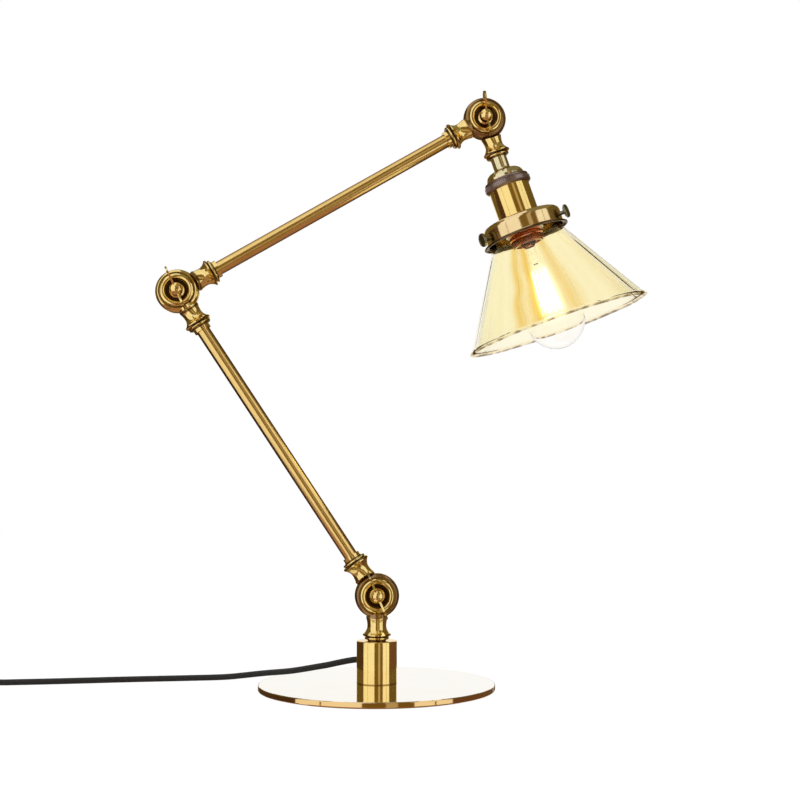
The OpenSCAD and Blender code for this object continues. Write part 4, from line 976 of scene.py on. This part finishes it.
class LAMP_OT_shade(bpy.types.Operator):
    """Draws the fluted glass shade down from its collar to its mouth"""
    bl_idname = "lamp.shade"
    bl_label = "Glass shade"

    def execute(self, context):
        glass = context.scene.lamp_glass
        per_flute = 8
        sides = glass.flutes * per_flute
        start, end = stations("shade")
        neck, mouth_radius = 26.4, 66.0
        top, mouth = end - 71.8 * MM, end - 3.8 * MM  # where the cone starts and ends
        collar = [(0.1, 27.4), (0.7, 28.1), (1.4, 28.3), (2.4, 28.2), (3.2, 27.2), (4.0, neck),
                  (8.0, neck)]
        cone = [(top + (mouth - top) * k / 6, (neck + (mouth_radius - neck) * k / 6) * MM)
                for k in range(7)]
        rim = [(1.7, 67.6), (3.0, 68.9), (3.6, 69.2)]
        outline = [(start + s * MM, r * MM) for s, r in collar] + cone
        outline += [(mouth + s * MM, r * MM) for s, r in rim]
        shade = drawn_rings(outline, sides, "glass_shade")
        self.press_flutes(shade, glass, per_flute, top, mouth)
        apply_modifier(shade, "SOLIDIFY", thickness=glass.wall, offset=-1.0, use_even_offset=True)
        apply_modifier(shade, "SUBSURF", levels=2, render_levels=2)
        outward(shade)
        pick(shade)
        bpy.ops.object.shade_smooth()
        place(shade, head_matrix())
        finish_piece(shade, "head", amber_glass(glass))
        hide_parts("shade")
        return {"FINISHED"}

    def press_flutes(self, shade, glass, per_flute, top, mouth):
        """Scales each lengthwise column of points in or out, more towards the mouth.

        A flute is one hump of a cosine. Less a constant near its mean, the humps swell the lobes
        and draw the valleys in.
        """
        pick(shade)
        bpy.ops.object.mode_set(mode="EDIT")
        heights = sorted({round(v.co.z, 6) for v in bmesh.from_edit_mesh(shade.data).verts})
        step = 2 * math.pi / (glass.flutes * per_flute)
        for height in [h for h in heights if h > top + MM]:
            share = min((height - top) / (mouth - top), 1.0)
            for place_in_flute in range(per_flute // 2 + 1):
                turn = place_in_flute * step
                hump = abs(math.cos(glass.flutes / 2 * turn)) - 0.64
                swell = glass.flute_depth * share * hump

                def chosen(vertex):
                    angle = math.atan2(vertex.co.y, vertex.co.x) + math.pi / 2
                    column = round(angle / step) % per_flute
                    return (abs(vertex.co.z - height) < 1e-5
                            and min(column, per_flute - column) == place_in_flute)

                select_where(shade, chosen)
                mesh = bmesh.from_edit_mesh(shade.data)
                radius = next(v.co.xy.length for v in mesh.verts if v.select)
                factor = (radius + swell) / radius
                bpy.ops.transform.resize(value=(factor, factor, 1), center_override=(0, 0, height))
        valley = per_flute // 2

        def in_valley(edge):
            angles = [math.atan2(v.co.y, v.co.x) + math.pi / 2 for v in edge.verts]
            columns = [round(a / step) % per_flute for a in angles]
            return columns == [valley, valley] and min(v.co.z for v in edge.verts) > top + MM

        select_where(shade, in_valley, "edges")
        bpy.ops.transform.edge_crease(value=0.8)
        bpy.ops.object.mode_set(mode="OBJECT")


class LAMP_OT_bulb(bpy.types.Operator):
    """Blows the bulb's glass and lights its filament"""
    bl_idname = "lamp.bulb"
    bl_label = "Bulb"

    def execute(self, context):
        bulb = context.scene.lamp_bulb
        neck, widest, height = 11.3 * MM, bulb.radius, 80.1 * MM
        end = stations("bulb_glass")[1]
        start, middle = end - height, end - widest
        quarter = math.pi / 2
        wall = [(start + (middle - start) * k / 14,
                 neck + (widest - neck) * math.sin(quarter * k / 14) ** 0.9) for k in range(15)]
        tip = [(middle + widest * math.sin(quarter * k / 10), widest * math.cos(quarter * k / 10))
               for k in range(1, 10)]
        root, pole = (start - 2.5 * MM, neck), (middle + widest, 0.4 * MM)
        glass = drawn_rings([root, *wall, *tip, pole], 64, "bulb_glass_skin")
        bpy.ops.object.mode_set(mode="EDIT")
        select_where(glass, lambda vertex: vertex.co.z > middle + widest - 1e-6)
        bpy.ops.mesh.merge(type="COLLAPSE")
        bpy.ops.object.mode_set(mode="OBJECT")
        outward(glass)
        apply_modifier(glass, "SOLIDIFY", thickness=bulb.wall, offset=-1.0, use_even_offset=True)
        apply_modifier(glass, "SUBSURF", levels=1, render_levels=1)
        pick(glass)
        bpy.ops.object.shade_smooth()
        place(glass, head_matrix())
        low, high = stations("bulb_filament")
        halo = 8 * MM  # how far the painted glow on the glass reaches past the filament
        glass_with_painted_glow = clear_bulb_glass(low - halo, high + halo, 0.3)
        finish_piece(glass, "bulb", glass_with_painted_glow)
        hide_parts("bulb_glass")
        filament = frame["nodes"]["bulb_filament"]
        filament.data.materials.clear()
        filament.data.materials.append(glowing_filament(bulb))
        return {"FINISHED"}


class LAMP_OT_finishes(bpy.types.Operator):
    """Gives each rigid piece of the lamp its metal, plastic, felt or porcelain finish"""
    bl_idname = "lamp.finishes"
    bl_label = "Finishes"

    def execute(self, context):
        for name, material in {**brass_finishes(), **other_finishes()}.items():
            slots = frame["nodes"][name].data.materials
            slots.clear()
            slots.append(material)
        return {"FINISHED"}


class LAMP_PT_panel(bpy.types.Panel):
    """The lamp's pieces and their settings"""
    bl_idname = "LAMP_PT_panel"
    bl_label = "Glass table lamp"
    bl_space_type = "VIEW_3D"
    bl_region_type = "UI"
    bl_category = "Lamp"

    def draw(self, context):
        for operator, settings in STEPS:
            box = self.layout.box()
            box.operator(operator.bl_idname)
            if settings:
                group = getattr(context.scene, settings)
                for name in group.__annotations__:
                    box.prop(group, name)


STEPS = (
    (LAMP_OT_studio, "lamp_studio"),
    (LAMP_OT_cord, "lamp_cord"),
    (LAMP_OT_shade, "lamp_glass"),
    (LAMP_OT_bulb, "lamp_bulb"),
    (LAMP_OT_finishes, None),
)
SETTINGS = {
    "lamp_studio": StudioSettings,
    "lamp_cord": CordSettings,
    "lamp_glass": GlassSettings,
    "lamp_bulb": BulbSettings,
}


def register():
    for name, group in SETTINGS.items():
        bpy.utils.register_class(group)
        setattr(bpy.types.Scene, name, PointerProperty(type=group))
    for operator, _ in STEPS:
        bpy.utils.register_class(operator)
    bpy.utils.register_class(LAMP_PT_panel)


def unregister():
    bpy.utils.unregister_class(LAMP_PT_panel)
    for operator, _ in reversed(STEPS):
        bpy.utils.unregister_class(operator)
    for name, group in reversed(SETTINGS.items()):
        delattr(bpy.types.Scene, name)
        bpy.utils.unregister_class(group)


def main():
    register()
    bpy.ops.lamp.studio()
    bpy.ops.lamp.cord()
    bpy.ops.lamp.shade()
    bpy.ops.lamp.bulb()
    bpy.ops.lamp.finishes()
    deselect()


if __name__ == "__main__":
    main()
